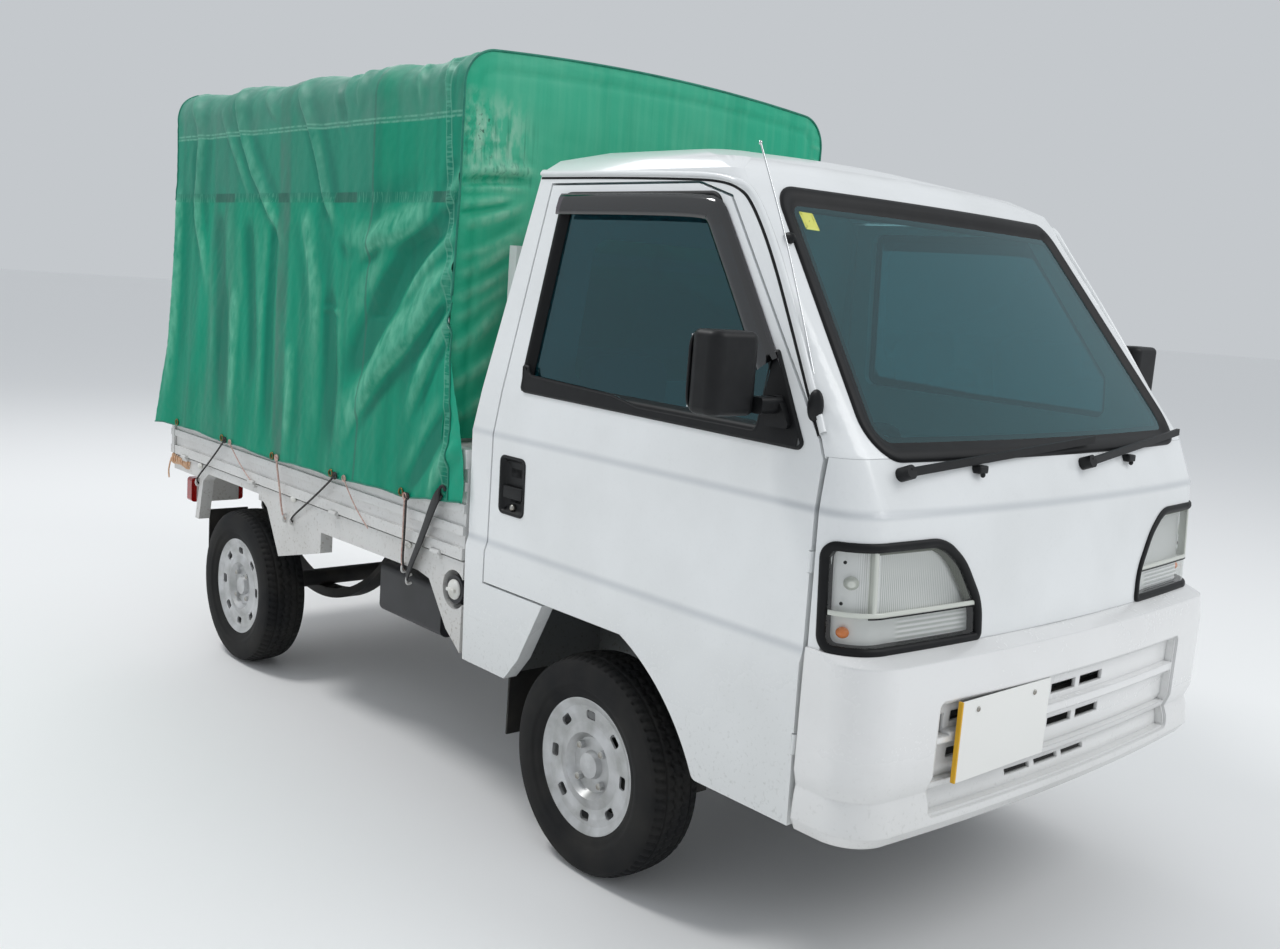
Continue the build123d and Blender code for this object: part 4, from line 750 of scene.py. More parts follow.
# %% Front face of the cover
front_hem_z, front_rows = 958, 118
shoulder_steps = np.linspace(shoulder_t, corner_end_t, 18)
crown_steps = np.linspace(corner_end_t, crown_t, 68)
edge_t = np.concatenate([shoulder_steps, crown_steps[1:]])
edge_out, edge_up = cover_section(edge_t)[:2]
right_creases = (
    # height, upper width, lower width, line of (distance out, z), from the corner seam inwards
    (9, 12, 16, ((690, 1636), (618, 1650), (542, 1661), (468, 1663), (420, 1655))),
    (-8, 12, 12, ((692, 1615), (608, 1627), (524, 1634), (440, 1638))),
    (6, 9, 12, ((690, 1598), (587, 1611), (523, 1619), (460, 1621))),
    (7, 10, 16, ((690, 1553), (613, 1566), (553, 1579), (480, 1592))),
    (-5, 8, 14, ((688, 1538), (584, 1561), (480, 1584))),
    (4, 14, 20, ((690, 1668), (619, 1677), (560, 1686), (490, 1688))),
    (6, 16, 12, ((690, 1508), (603, 1527), (527, 1557), (450, 1590))),
    (6, 18, 12, ((690, 1428), (598, 1449), (513, 1494), (440, 1540))),
    (7, 20, 13, ((690, 1380), (615, 1408), (530, 1453), (450, 1510))),
    (7, 20, 14, ((694, 1318), (611, 1353), (545, 1388), (470, 1440))),
    (6, 18, 13, ((696, 1265), (608, 1306), (552, 1340), (480, 1390))),
    (8, 22, 15, ((698, 1190), (613, 1234), (568, 1283), (500, 1340))),
    (6, 20, 14, ((700, 1092), (626, 1129), (589, 1154), (520, 1200))),
    (6, 20, 14, ((702, 1010), (630, 1028), (593, 1056), (540, 1090))),
    (3, 6, 7, ((686, 1722), (600, 1730), (531, 1736))),
    (3, 6, 7, ((686, 1748), (640, 1752), (600, 1760))),
    (3, 6, 7, ((686, 1775), (640, 1772), (610, 1780))),
    (3, 7, 7, ((686, 1802), (650, 1806), (622, 1810))),
    (3, 7, 7, ((686, 1840), (655, 1846), (630, 1850))),
)
left_creases = [
    (height * chance.uniform(0.5, 1.1), upper, lower, [(out, z + 18 * math.sin(z / 90)) for out, z in points])
    for height, upper, lower, points in right_creases
]


def front_push(out, z, side):
    """How far the front face stands forward at a distance out and a height, on one side."""
    push = fold_push(out, z, right_creases if side < 0 else left_creases)
    corner_out, corner_up = np.maximum(out - shoulder_middle, 0), np.maximum(z - shoulder_t, 0)
    inset = np.where(
        (corner_out > 0) & (corner_up > 0),
        shoulder_radius - np.hypot(corner_out, corner_up),
        np.minimum(cover_half - out, crown_z - z - 23 * (out / shoulder_middle) ** 2),
    )
    push += 3.0 * np.exp(-(((inset - 26) / 15) ** 2)) - 3.5 * np.exp(-(((inset - 52) / 8) ** 2))
    across = side * out
    inside = np.clip(inset / 160, 0, 1)
    push += inside * (1.6 * waves(across, z, 240, 70, 40, 6, 21) + 0.4 * waves(across, z, 60, 0, 90, 9, 22))
    pucker = np.exp(-((np.maximum(inset, 0) / 34) ** 2))
    push += 1.3 * pucker * waves(across, z, 30, 90, 16, 5, 23)
    return push * np.clip((inset + 2) / 10, 0, 1)


front_share = np.linspace(0, 1, front_rows)
half_fronts, front_marks = [], []
for _, side in sides:
    out_grid = np.tile(edge_out, (front_rows, 1))
    z_grid = front_hem_z + front_share[:, None] * (edge_up - front_hem_z)[None, :]
    out_grid = out_grid * (1 + np.clip((band_t - z_grid) / 816, 0, 1) * 28 / cover_half)
    forward = front_push(out_grid, z_grid, side)
    front_marks.append(fold_mark(out_grid, z_grid, right_creases if side < 0 else left_creases))
    half_fronts.append(np.stack([side * out_grid, cover_front + y_mm - forward, z_grid], -1))
front_points = np.concatenate([half_fronts[0], half_fronts[1][:, -2::-1]], 1)
front_mark = np.concatenate([front_marks[0], front_marks[1][:, -2::-1]], 1)
print("points of the front face:", front_points.shape[:2])

# %% [markdown]
# A curtain's front edge swings forward below the cab's window line, and its rear corner hangs free. The
# hem is pulled down at each eyelet and stands out a little between them.

# %% Hem line and curtains
hem_line = (
    # station, height of the hem
    (480, 811), (560, 801), (640, 795), (735, 779), (783, 775), (900, 780), (1040, 772), (1177, 764),
    (1300, 770), (1440, 766), (1567, 757), (1700, 764), (1840, 767), (1956, 760), (2090, 769), (2230, 771),
    (2345, 764), (2430, 768), (2520, 758),
)
hem_places, hem_heights = zip(*hem_line)
eyelet_stations = (783, 1177, 1567, 1956, 2345)


def curtain_points(side, rows, columns):
    """Points of one curtain from the band down to the hem, in millimetres."""
    down, along = np.meshgrid(np.linspace(0, 1, rows), np.linspace(0, 1, columns), indexing="ij")
    swing = np.clip((down - 0.40) / 0.56, 0, 1)
    front_edge = cover_front - 115 * swing * swing * (3 - 2 * swing)
    rear_edge = cover_rear + 62 * down**1.4
    place = front_edge + along * (rear_edge - front_edge)
    hem = np.interp(place, hem_places, hem_heights)
    t = band_t + 14 + down * (hem - band_t - 14)
    low = np.clip((1050 - t) / 290, 0, 1)
    near_eyelet = sum(np.exp(-(((place - eyelet) / 70) ** 2)) for eyelet in eyelet_stations)
    extra_out = low * (5 - 6 * near_eyelet) + 16 * low * np.clip((place - 2330) / 170, 0, 1)
    tuck = 4 * np.clip((560 - place) / 60, 0, 1) * np.clip((1150 - t) / 300, 0, 1)
    mark = fold_mark(place, t, right_folds if side < 0 else left_folds)
    return cloth_points(place, t, side, extra_out - tuck), mark


print("hem between", min(hem_heights), "and", max(hem_heights), "mm above the ground")

# %% [markdown]
# ## PVC-coated canvas
# The coating started as one saturated green. Sun has bleached the upper panels, rain has drawn streaks
# straight down, and dust from the hoops has left brown-grey bands. The front face is a lighter copy of the
# canvas, painted light for the light that falls on it, and a faint leaning band on the side is a painted
# shadow of a hoop. The seams show as pairs of pale stitch lines, and the band seam has darker patches where
# it was mended. Bleaching, soil and painted light and shade are laid over the base tone one after another,
# each through its own masks.


# %% Masks and layers of colour
def stripe(tree, along, middle, half_width, softness):
    """A mask that is 1 within half_width of middle and fades over the softness, all in metres."""
    away = add_node(tree, "ShaderNodeMath", {0: along, 1: middle}, operation="SUBTRACT").outputs[0]
    away = add_node(tree, "ShaderNodeMath", {0: away}, operation="ABSOLUTE").outputs[0]
    return add_node(
        tree,
        "ShaderNodeMapRange",
        {
            "Value": away,
            "From Min": half_width,
            "From Max": half_width + softness,
            "To Min": 1.0,
            "To Max": 0.0,
        },
    ).outputs["Result"]


def spread_noise(tree, coords, stretch_mm, low, high, detail=4.0):
    """Noise with its own size along x, y and z in millimetres, spread between two levels."""
    scaled = add_node(
        tree, "ShaderNodeMapping", {"Vector": coords, "Scale": [per_metre(size) for size in stretch_mm]}
    ).outputs["Vector"]
    field = add_node(
        tree, "ShaderNodeTexNoise", {"Vector": scaled, "Scale": 1.0, "Detail": detail}
    ).outputs["Fac"]
    return add_node(
        tree, "ShaderNodeMapRange", {"Value": field, "From Min": low, "From Max": high}
    ).outputs["Result"]


def overlay(tree, tone, colour, share, *masks):
    """The tone with a share of a colour laid over it where all the masks are bright."""
    for mask in masks:
        share = add_node(tree, "ShaderNodeMath", {0: mask, 1: share}, operation="MULTIPLY").outputs[0]
    return add_node(
        tree, "ShaderNodeMix", {FACTOR: share, FIRST: tone, SECOND: linear(colour)}, data_type="RGBA"
    ).outputs[MIXED]


print("a noise of 340 mm has scale", round(per_metre(340), 2))

# %% [markdown]
# The base of both canvases is the same: pale and deep clouds, rain streaks, and the marks that the sheets
# carry for their folds. Ridges get a painted highlight that is partly rubbed wear, and valleys get painted
# shade in the deep tone. A thin sheet also lets some light through, so part of the tone goes to a translucent
# shader.

# %% Canvas with weather and folds
def canvas(name, colour, bleached, deep, ridge_highlight_and_wear_tone):
    """Green coated canvas: deep and bleached clouds, rain streaks, a painted highlight on ridges that is
    partly rubbed wear, painted shade in valleys, and a weave.
    """
    finish, tree, shader = new_finish(name, colour, 0.5, IOR=1.47, Specular_IOR_Level=0.28)
    coords = add_node(tree, "ShaderNodeTexCoord").outputs["Object"]
    clouds = spread_noise(tree, coords, (340, 340, 520), 0.40, 0.68)
    tone = overlay(tree, linear(colour), bleached, 0.30, clouds)
    streaks = spread_noise(tree, coords, (26, 26, 900), 0.45, 0.72)
    tone = overlay(tree, tone, bleached, 0.22, streaks)
    dark_streaks = spread_noise(tree, coords, (60, 44, 1400), 0.50, 0.76)
    tone = overlay(tree, tone, deep, 0.42, dark_streaks)
    # Fold ridges get a painted highlight, partly rubbed wear, and fold valleys get painted shade.
    mark = add_node(tree, "ShaderNodeAttribute", attribute_name="mark").outputs["Fac"]
    rub = spread_noise(tree, coords, (30, 30, 60), 0.25, 0.65)
    ridge = add_node(
        tree, "ShaderNodeMapRange", {"Value": mark, "From Min": 0.05, "From Max": 0.9}
    ).outputs["Result"]
    tone = overlay(tree, tone, ridge_highlight_and_wear_tone, 0.75, ridge, rub)
    valley = add_node(
        tree, "ShaderNodeMapRange", {"Value": mark, "From Min": -0.05, "From Max": -0.6}
    ).outputs["Result"]
    tone = overlay(tree, tone, deep, 0.6, valley)

    # Woven threads lie 0.5 mm apart; 2.4 mm is as fine as the render can show.
    weave = spread_noise(tree, coords, (2.4, 2.4, 2.4), 0.3, 0.7, detail=1.0)
    crumple = spread_noise(tree, coords, (24, 24, 24), 0.3, 0.7)
    relief = add_node(
        tree, "ShaderNodeMath", {0: crumple, 1: 3.0, 2: weave}, operation="MULTIPLY_ADD"
    ).outputs[0]
    bump = add_node(tree, "ShaderNodeBump", {"Height": relief, "Strength": 0.30, "Distance": 0.35 * mm})
    tree.links.new(bump.outputs["Normal"], shader.inputs["Normal"])
    dull = spread_noise(tree, coords, (90, 90, 240), 0.35, 0.7)
    sheen = add_node(tree, "ShaderNodeMapRange", {"Value": dull, "To Min": 0.40, "To Max": 0.62})
    tree.links.new(sheen.outputs["Result"], shader.inputs["Roughness"])
    return finish, tree, shader, coords, tone


def glow_through(tree, shader, tone, share):
    """Feeds the tone to the shader and lets a share of the light through the sheet."""
    tree.links.new(tone, shader.inputs["Base Color"])
    glow = add_node(tree, "ShaderNodeBsdfTranslucent", {"Color": tone}).outputs["BSDF"]
    mixed = add_node(tree, "ShaderNodeMixShader", {0: share, 1: shader.outputs["BSDF"], 2: glow})
    output = next(node for node in tree.nodes if node.type == "OUTPUT_MATERIAL")
    tree.links.new(mixed.outputs["Shader"], output.inputs["Surface"])


side_canvas, tree, shader, coords, tone = canvas(
    "green_pvc_canvas", "#009070", "#14a585", "#006a58", "#6fc4a4"
)
axes = add_node(tree, "ShaderNodeSeparateXYZ", {0: coords})
side_y, side_z = axes.outputs["Y"], axes.outputs["Z"]
print("side canvas starts from", len(tree.nodes), "nodes")

# %% [markdown]
# The panels were bleached unevenly: above the upper seam most, and behind the first panel seam more than
# before it. A faint dark band that leans with a hoop is a painted shadow of that hoop.

# %% Bleached panels, a painted hoop shadow and dusty bands
panel_seam = 1048
above_seam = add_node(
    tree, "ShaderNodeMapRange", {"Value": side_z, "From Min": 1.776, "From Max": 1.786}
).outputs["Result"]
above_band = add_node(
    tree, "ShaderNodeMapRange", {"Value": side_z, "From Min": 1.574, "From Max": 1.584}
).outputs["Result"]
behind_panel = add_node(
    tree,
    "ShaderNodeMapRange",
    {"Value": side_y, "From Min": station(panel_seam - 4), "From Max": station(panel_seam + 4)},
).outputs["Result"]
mottling = spread_noise(tree, coords, (120, 120, 160), 0.25, 0.7)
tone = overlay(tree, tone, "#3f8475", 0.40, above_band, behind_panel)
tone = overlay(tree, tone, "#5d8f80", 0.75, above_seam, mottling)
tone = overlay(tree, tone, "#3c6f63", 0.6, stripe(tree, side_y, station(panel_seam), 0.003, 0.004))


def leaning(slope, place_mm, height):
    """Distance along the lorry from a line that leans back by a slope, and where that line stands."""
    along = add_node(
        tree, "ShaderNodeMath", {0: side_z, 1: -slope, 2: side_y}, operation="MULTIPLY_ADD"
    ).outputs[0]
    return along, station(place_mm) - slope * height


# Painted shadow of a hoop: a faint dark band that leans with it.
hoop_shadow_along, hoop_shadow_middle = leaning(0.0593, 1607, 1.906)
patchy = spread_noise(tree, coords, (50, 50, 130), 0.2, 0.6)
hoop_shadow = stripe(tree, hoop_shadow_along, hoop_shadow_middle, 0.026, 0.02)
tone = overlay(tree, tone, "#4a7a6c", 0.72, hoop_shadow, patchy)
dusty_bands = (
    # station, half width in metres, share
    (2060, 0.05, 0.30),
    (1960, 0.02, 0.22),
    (2250, 0.03, 0.2),
)
for band_station, half_width, share in dusty_bands:
    band = stripe(tree, side_y, station(band_station), half_width, 0.03)
    tone = overlay(tree, tone, "#4a766b", share, band, patchy)
print("dusty bands:", len(dusty_bands))

# %% [markdown]
# Two rows of stitches run along the upper seam. The band seam below it is a folded strip with a
# puckered, darker face, and four mended places show along it. At the front corner the cloth turns
# with a laced strip, and the part ahead of the corner is the paler inner side of the front face.

# %% Seams, mended patches and the corner strip
seam_wear = spread_noise(tree, coords, (18, 18, 18), 0.30, 0.55)
for seam_z in (1.7815, 1.7925):
    stitches = stripe(tree, side_z, seam_z, 0.0016, 0.0022)
    tone = overlay(tree, tone, "#7fc2a8", 0.55, stitches, seam_wear)
band_mask = stripe(tree, side_z, 1.5795, 0.013, 0.003)
tone = overlay(tree, tone, "#0a6f5a", 0.35, band_mask)
ticks = spread_noise(tree, coords, (5, 5, 60), 0.52, 0.62, detail=1.0)
tone = overlay(tree, tone, "#58ab90", 0.45, band_mask, ticks)
mended_patches = (
    # station, half width in metres
    (2031, 0.075),
    (1599, 0.035),
    (1204, 0.062),
    (690, 0.035),
)
for patch_station, half_width in mended_patches:
    patch = stripe(tree, side_y, station(patch_station), half_width, 0.012)
    tone = overlay(tree, tone, "#2b6355", 0.75, patch, band_mask)

corner_along, corner_middle = leaning(0.114, 612, 1.318)
front_strip = add_node(
    tree,
    "ShaderNodeMapRange",
    {
        "Value": corner_along,
        "From Min": corner_middle - 0.002,
        "From Max": corner_middle + 0.002,
        "To Min": 1.0,
        "To Max": 0.0,
    },
).outputs["Result"]
below_corner = add_node(
    tree,
    "ShaderNodeMapRange",
    {"Value": side_z, "From Min": 1.30, "From Max": 1.33, "To Min": 1.0, "To Max": 0.0},
).outputs["Result"]
tone = overlay(tree, tone, "#1fa987", 0.8, front_strip, below_corner)
laced_along, laced_middle = leaning(0.108, 653, 1.571)
laced = stripe(tree, laced_along, laced_middle, 0.011, 0.003)
rungs = spread_noise(tree, coords, (60, 60, 6), 0.50, 0.60, detail=1.0)
tone = overlay(tree, tone, "#0a7a63", 0.35, laced)
tone = overlay(tree, tone, "#66b79c", 0.45, laced, rungs)
for offset in (-0.012, 0.012):
    edge = stripe(tree, laced_along, laced_middle + offset, 0.0012, 0.002)
    tone = overlay(tree, tone, "#79bea5", 0.4, edge)
glow_through(tree, shader, tone, 0.12)
print("side canvas ends with", len(tree.nodes), "nodes")

# %% [markdown]
# The front face is a lighter copy of the canvas: painted light for the light that falls on it and shines
# through it. Its strip beside the corner seam is a deeper green, and under the seam's upper corner the
# coating is rubbed through, with drips and dark spots of mould below.

# %% Front canvas and piping
# The front face's canvas is a lighter copy of the side canvas: painted light on the front face.
lit_front_canvas, tree, shader, coords, tone = canvas(
    "lit_front_pvc_canvas", "#2fb58f", "#7fd0ae", "#0a9c78", "#a5dcc0"
)
axes = add_node(tree, "ShaderNodeSeparateXYZ", {0: coords})
front_x, front_z = axes.outputs["X"], axes.outputs["Z"]
edge_strip = add_node(
    tree,
    "ShaderNodeMapRange",
    {"Value": front_x, "From Min": -0.640, "From Max": -0.560, "To Min": 1.0, "To Max": 0.0},
).outputs["Result"]
tone = overlay(tree, tone, "#19b088", 0.6, edge_strip)
worn_places = (
    # colour, share, x and half width with softness, z and half height with softness, grain in mm, levels
    ("#a9d9bf", 0.75, (-0.600, 0.05, 0.09), (1.735, 0.04, 0.09), (26, 26, 60), (0.42, 0.60)),
    ("#1d7f66", 0.5, (-0.575, 0.10, 0.05), (1.70, 0.06, 0.06), (9, 9, 240), (0.52, 0.68)),
    ("#245548", 0.8, (-0.622, 0.016, 0.02), (1.745, 0.05, 0.04), (12, 12, 16), (0.60, 0.66)),
)
for colour, share, across_zone, height_zone, grain_mm, levels in worn_places:
    zone = (stripe(tree, front_x, *across_zone), stripe(tree, front_z, *height_zone))
    tone = overlay(tree, tone, colour, share, *zone, spread_noise(tree, coords, grain_mm, *levels))
glow_through(tree, shader, tone, 0.14)
piping_vinyl = mottled("seam_piping_vinyl", "#0c6f5b", "#2b8a73", 40, 0.45, 0.1, IOR=1.47)
print("worn places on the front:", len(worn_places))

# %% [markdown]
# The sheets are laid out now, each at its real place. The rear flap is rolled up and tied under the
# last hoop, as it is when the bed is open for loading.

# %% The cover's sheets in place
tarpaulin_top = grid_mesh("tarpaulin_top", top_points, side_canvas, mark=top_mark)
tarpaulin_front = grid_mesh("tarpaulin_front", front_points, lit_front_canvas, mark=front_mark)
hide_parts("cover")
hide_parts("cover")
curtains = []
for side_name, side in sides:
    sheet_points, sheet_mark = curtain_points(side, 118, 278)
    curtain = grid_mesh(f"tarpaulin_curtain_{side_name}", sheet_points, side_canvas, mark=sheet_mark)
    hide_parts(f"curtain_{side_name}")
    curtains.append(curtain)
print("quads:", [len(piece.data.polygons) for piece in (tarpaulin_top, tarpaulin_front, *curtains)])

# %% [markdown]
# ## Seams, eyelets and lashings
# A corded piping closes the corner seam between the side and the front face. The hem carries brass
# eyelets; from each one a cord runs down to a hook under the sill, some with a second, paler twine
# beside it, and a black rubber strap pulls the front corner down. All of them are taut. Their lines
# follow the cloth's own points, so they start exactly on the hem.

# %% Piping, eyelets and cords
cord_black = mottled("braided_black_cord", "#1c1b1b", "#4a4643", 6, 0.75, 0.5, IOR=1.5)
twine_pale = mottled("faded_pink_twine", "#b98d86", "#d6c3b4", 8, 0.85, 0.5, IOR=1.5)
twine_peach = mottled("faded_peach_twine", "#cfa27f", "#e2c3a4", 9, 0.85, 0.6, IOR=1.5)
strap_rubber = mottled("tie_down_rubber", "#141415", "#242425", 26, 0.55, 0.3, IOR=1.52)
brass_eyelet = mottled("tarnished_brass", "#8c7a4a", "#5f5436", 10, 0.4, 0.1, Metallic=1.0)


def tube(name, lines, radius_mm, finish, body="root", closed=False, as_mesh=False):
    """Round tubes along lines of points in millimetres, as one piece riding on a body."""
    curve = bpy.data.curves.new(name, "CURVE")
    curve.dimensions = "3D"
    curve.bevel_depth = radius_mm * mm
    curve.bevel_resolution = 3
    curve.use_fill_caps = not closed
    for line in lines:
        spline = curve.splines.new("POLY")
        spline.points.add(len(line) - 1)
        for place, point in zip(spline.points, line):
            place.co = (*(c * mm for c in point), 1)
        spline.use_cyclic_u = closed
        spline.use_smooth = True
    curve.materials.append(finish)
    piece = bpy.data.objects.new(name, curve)
    scene.collection.objects.link(piece)
    if as_mesh:
        bpy.context.view_layer.update()
        mesh = bpy.data.meshes.new_from_object(piece)
        bpy.data.objects.remove(piece)
        piece = bpy.data.objects.new(name, mesh)
        scene.collection.objects.link(piece)
    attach(piece, body)
    return piece


def lies_on_curtain(side, place, t, stand_off):
    """A point at a station and t on a curtain, standing off the cloth by some millimetres."""
    low = max(0.0, min(1.0, (1050 - t) / 290))
    near_eyelet = sum(math.exp(-(((place - eyelet) / 70) ** 2)) for eyelet in eyelet_stations)
    rear_flare = 16 * low * max(0.0, min(1.0, (place - 2330) / 170))
    extra = low * (5 - 6 * near_eyelet) + rear_flare + stand_off
    return cloth_points(np.array([float(place)]), np.array([float(t)]), side, extra)[0]


def drawn(points, steps=24):
    """A smooth line through rounded corners, resampled evenly."""
    line = rounded_line(points, 3)
    lengths = np.concatenate([[0], np.cumsum(np.linalg.norm(np.diff(line, axis=0), axis=1))])
    even = np.linspace(0, lengths[-1], steps)
    return np.stack([np.interp(even, lengths, line[:, axis]) for axis in range(3)], -1)


section_t = np.linspace(1330, crown_t, 150)
seam_halves = []
for _, side in sides:
    out, up, out_share, up_share = cover_section(section_t)
    seam_y = np.full_like(out, cover_front + y_mm - 1)
    seam_halves.append(np.stack([side * (out + 1), seam_y, up + up_share], -1))
corner_seam = np.concatenate([seam_halves[0], seam_halves[1][-2::-1]])
corner_piping = tube("corner_piping", [corner_seam], 3.2, piping_vinyl)
print("corner seam points:", len(corner_seam))

# %% [markdown]
# Each lashing is one row of a table: where it leaves the hem and where its hook is. A cord starts in a
# loop through its eyelet, bends over the hem and ends behind the sill; the slack twines only lie on it.

# %% Hem cords, eyelets and lashings
lash_rows = (
    # name, finish, radius, (station, z) at the hem, (station, z) at the hook
    ("cord_rear", cord_black, 3.0, (1916, 770), (2190, 589)),
    ("twine_middle", twine_pale, 3.0, (1526, 768), (1504, 586)),
    ("cord_middle", cord_black, 3.2, (1139, 774), (1455, 586)),
    ("twine_front", twine_pale, 2.6, (757, 779), (783, 581)),
    ("cord_front", cord_black, 2.8, (748, 780), (776, 581)),
    ("twine_slack_rear", twine_pale, 1.8, (1860, 770), (1742, 660)),
    ("twine_slack_middle", twine_pale, 1.8, (1087, 774), (973, 650)),
)


def hem_height(place):
    """Height of the curtains' hem at a station."""
    return np.interp(place, hem_places, hem_heights)


def lash_lines(side, radius, slack, leaves_at, hooked_at):
    """Line of one cord from its eyelet over the hem to its hook, and the loop through the eyelet."""
    (top_station, top_z), (hook_station, hook_z) = leaves_at, hooked_at
    top = lies_on_curtain(side, top_station, top_z + 12, 3 + radius)
    edge = lies_on_curtain(side, top_station, top_z, 4 + radius)
    low_out, middle_out, sag = (699, 708, 14) if slack else (700, 706, 2)
    middle_y, middle_z = (top_station + hook_station) / 2 + y_mm, (top_z + hook_z) / 2 - sag
    points = [top, edge, (side * (middle_out + radius), middle_y, middle_z)]
    points.append((side * (low_out + radius), hook_station + y_mm, hook_z))
    if not slack:
        points.append((side * 686, hook_station + y_mm + 4, hook_z - 14))
    turns = np.linspace(0.3, 5.9, 14)
    loop = [top + np.array([side * 1.0, 9 * math.sin(a), 9 * math.cos(a) - 9]) for a in turns]
    return [drawn(points), loop]


lashings = []
for side_name, side in sides:
    seam_points = []
    for t in np.linspace(1335, 806, 70):
        seam_station = 612 - max(0.0, 1318 - t) * 0.114
        seam_points.append(lies_on_curtain(side, seam_station, t, 1.0))
    piping = tube(f"seam_piping_{side_name}", [seam_points], 2.6, piping_vinyl, as_mesh=True)
    hem_points = []
    for place in np.linspace(497, 2500, 240):
        hem_points.append(lies_on_curtain(side, place, hem_height(place) + 2, 0.6))
    hem_cord = tube(f"hem_cord_{side_name}", [hem_points], 2.4, piping_vinyl, as_mesh=True)
    rings = []
    for eyelet in eyelet_stations:
        middle = lies_on_curtain(side, eyelet, hem_height(eyelet) + 14, 2.2)
        angles = np.linspace(0, 2 * math.pi, 21)[:-1]
        rings.append([middle + np.array([0, 10 * math.cos(a), 10 * math.sin(a)]) for a in angles])
    eyelets = tube(f"eyelets_{side_name}", rings, 2.6, brass_eyelet, closed=True, as_mesh=True)
    pieces_of_side = [piping, hem_cord, eyelets]
    for lash_name, finish, radius, leaves_at, hooked_at in lash_rows:
        lines = lash_lines(side, radius, "slack" in lash_name, leaves_at, hooked_at)
        pieces_of_side.append(tube(f"{lash_name}_{side_name}", lines, radius, finish, as_mesh=True))
    lashings.append(pieces_of_side)
print("lashings on each side:", [len(found) for found in lashings])

# %% [markdown]
# The rear flap hangs from the last hoop and is rolled up from its hem: twelve turns of cloth, 31 mm
# in radius, squeezed by three ties.

# %% Rolled rear flap
roll_half, roll_turns, roll_radius, roll_z = 560, 12, 31, 1913
roll_places, roll_steps = np.linspace(-roll_half, roll_half, 121), np.linspace(0, 1, 300)
roll_x, roll_share = np.meshgrid(roll_places, roll_steps, indexing="ij")
roll_angle = math.pi * 0.1 + 2 * math.pi * roll_turns * roll_share
tie_places = (-400, 0, 400)
squeeze = sum(np.exp(-(((roll_x - tie) / 22) ** 2)) for tie in tie_places)
swell = 1 + 0.05 * np.sin(roll_x / 61) + 0.04 * np.sin(roll_x / 23 + roll_angle * 2) - 0.14 * squeeze
roll_r = (3 + (roll_radius - 4) * roll_share) * swell
roll_y = cover_rear + 12 + y_mm + roll_r * np.cos(roll_angle)
sag = 5 * np.cos(math.pi * roll_x / 400) + 4 * np.sin(roll_x / 150)
roll_up = roll_z + sag + roll_r * np.sin(roll_angle)
roll_rows = np.stack([roll_x, roll_y, roll_up], -1)
crown_z_here = crown_z - 2 - 23 * (roll_x[:, :1] / shoulder_middle) ** 2
hang_share = np.linspace(0, 1, 9)[None, 1:]
hang_y = roll_y[:, -1:] + (cover_rear + 1 + y_mm - roll_y[:, -1:]) * hang_share**0.6
hang_z = roll_up[:, -1:] + (crown_z_here - roll_up[:, -1:]) * hang_share
hang_rows = np.stack([np.broadcast_to(roll_x[:, :1], hang_y.shape), hang_y, hang_z], -1)
rolled_flap = grid_mesh("rolled_flap", np.concatenate([roll_rows, hang_rows], 1), side_canvas)
flap_ties = []
ring_radius, rear_y = 29, cover_rear + y_mm
for tie in tie_places:
    ring = []
    for angle in np.linspace(0, 2 * math.pi, 25):
        ring_z = roll_z + 5 * math.cos(math.pi * tie / 400) + ring_radius * math.sin(angle)
        ring.append((tie, rear_y + 12 + ring_radius * math.cos(angle), ring_z))
    tail = [ring[6], (tie + 6, rear_y + 46, roll_z - 20), (tie - 3, rear_y + 44, roll_z - 60)]
    flap_ties.append(tube(f"flap_tie_{len(flap_ties)}", [ring, drawn(tail, 12)], 2.2, twine_pale))
rear_edge_line = [point + np.array([0, 1.0, 0]) for point in top_points[-1]]
tube("rear_edge_hem", [rear_edge_line], 3.0, piping_vinyl)
print("rolled flap quads:", len(rolled_flap.data.polygons))

# %% [markdown]
# The rubber strap is a flat band with a hook at its upper end. White plastic knobs stand along the sill
# for spare lashings, and bent steel hooks hang below it. At the rear latch somebody has wound a
# length of peach-coloured twine round the rail, and left its end loose.


# %% Flat bands and small pieces
def ribbon(name, line, width_mm, thickness_mm, finish, turns=0.0, body="root"):
    """A flat band along a line of points, its broad face turned outwards, riding on a body."""
    line = np.asarray(line, float)
    ahead = np.gradient(line, axis=0)
    ahead /= np.linalg.norm(ahead, axis=1)[:, None]
    outward = np.tile([np.sign(line[0, 0]), 0, 0], (len(line), 1))
    broad = np.cross(ahead, outward)
    broad /= np.linalg.norm(broad, axis=1)[:, None]
    thin = np.cross(broad, ahead)
    twist = np.linspace(0, turns * 2 * math.pi, len(line))[:, None]
    broad, thin = broad * np.cos(twist) + thin * np.sin(twist), thin * np.cos(twist) - broad * np.sin(twist)
    half_width, half_thick = width_mm / 2, thickness_mm / 2
    ring = ((1, 0.55), (0.85, 1), (-0.85, 1), (-1, 0.55), (-1, -0.55), (-0.85, -1), (0.85, -1), (1, -0.55))
    rings = [line + broad * half_width * across + thin * half_thick * up for across, up in ring]
    points = np.stack(rings + rings[:1], 1)
    return grid_mesh(name, points, finish, body)


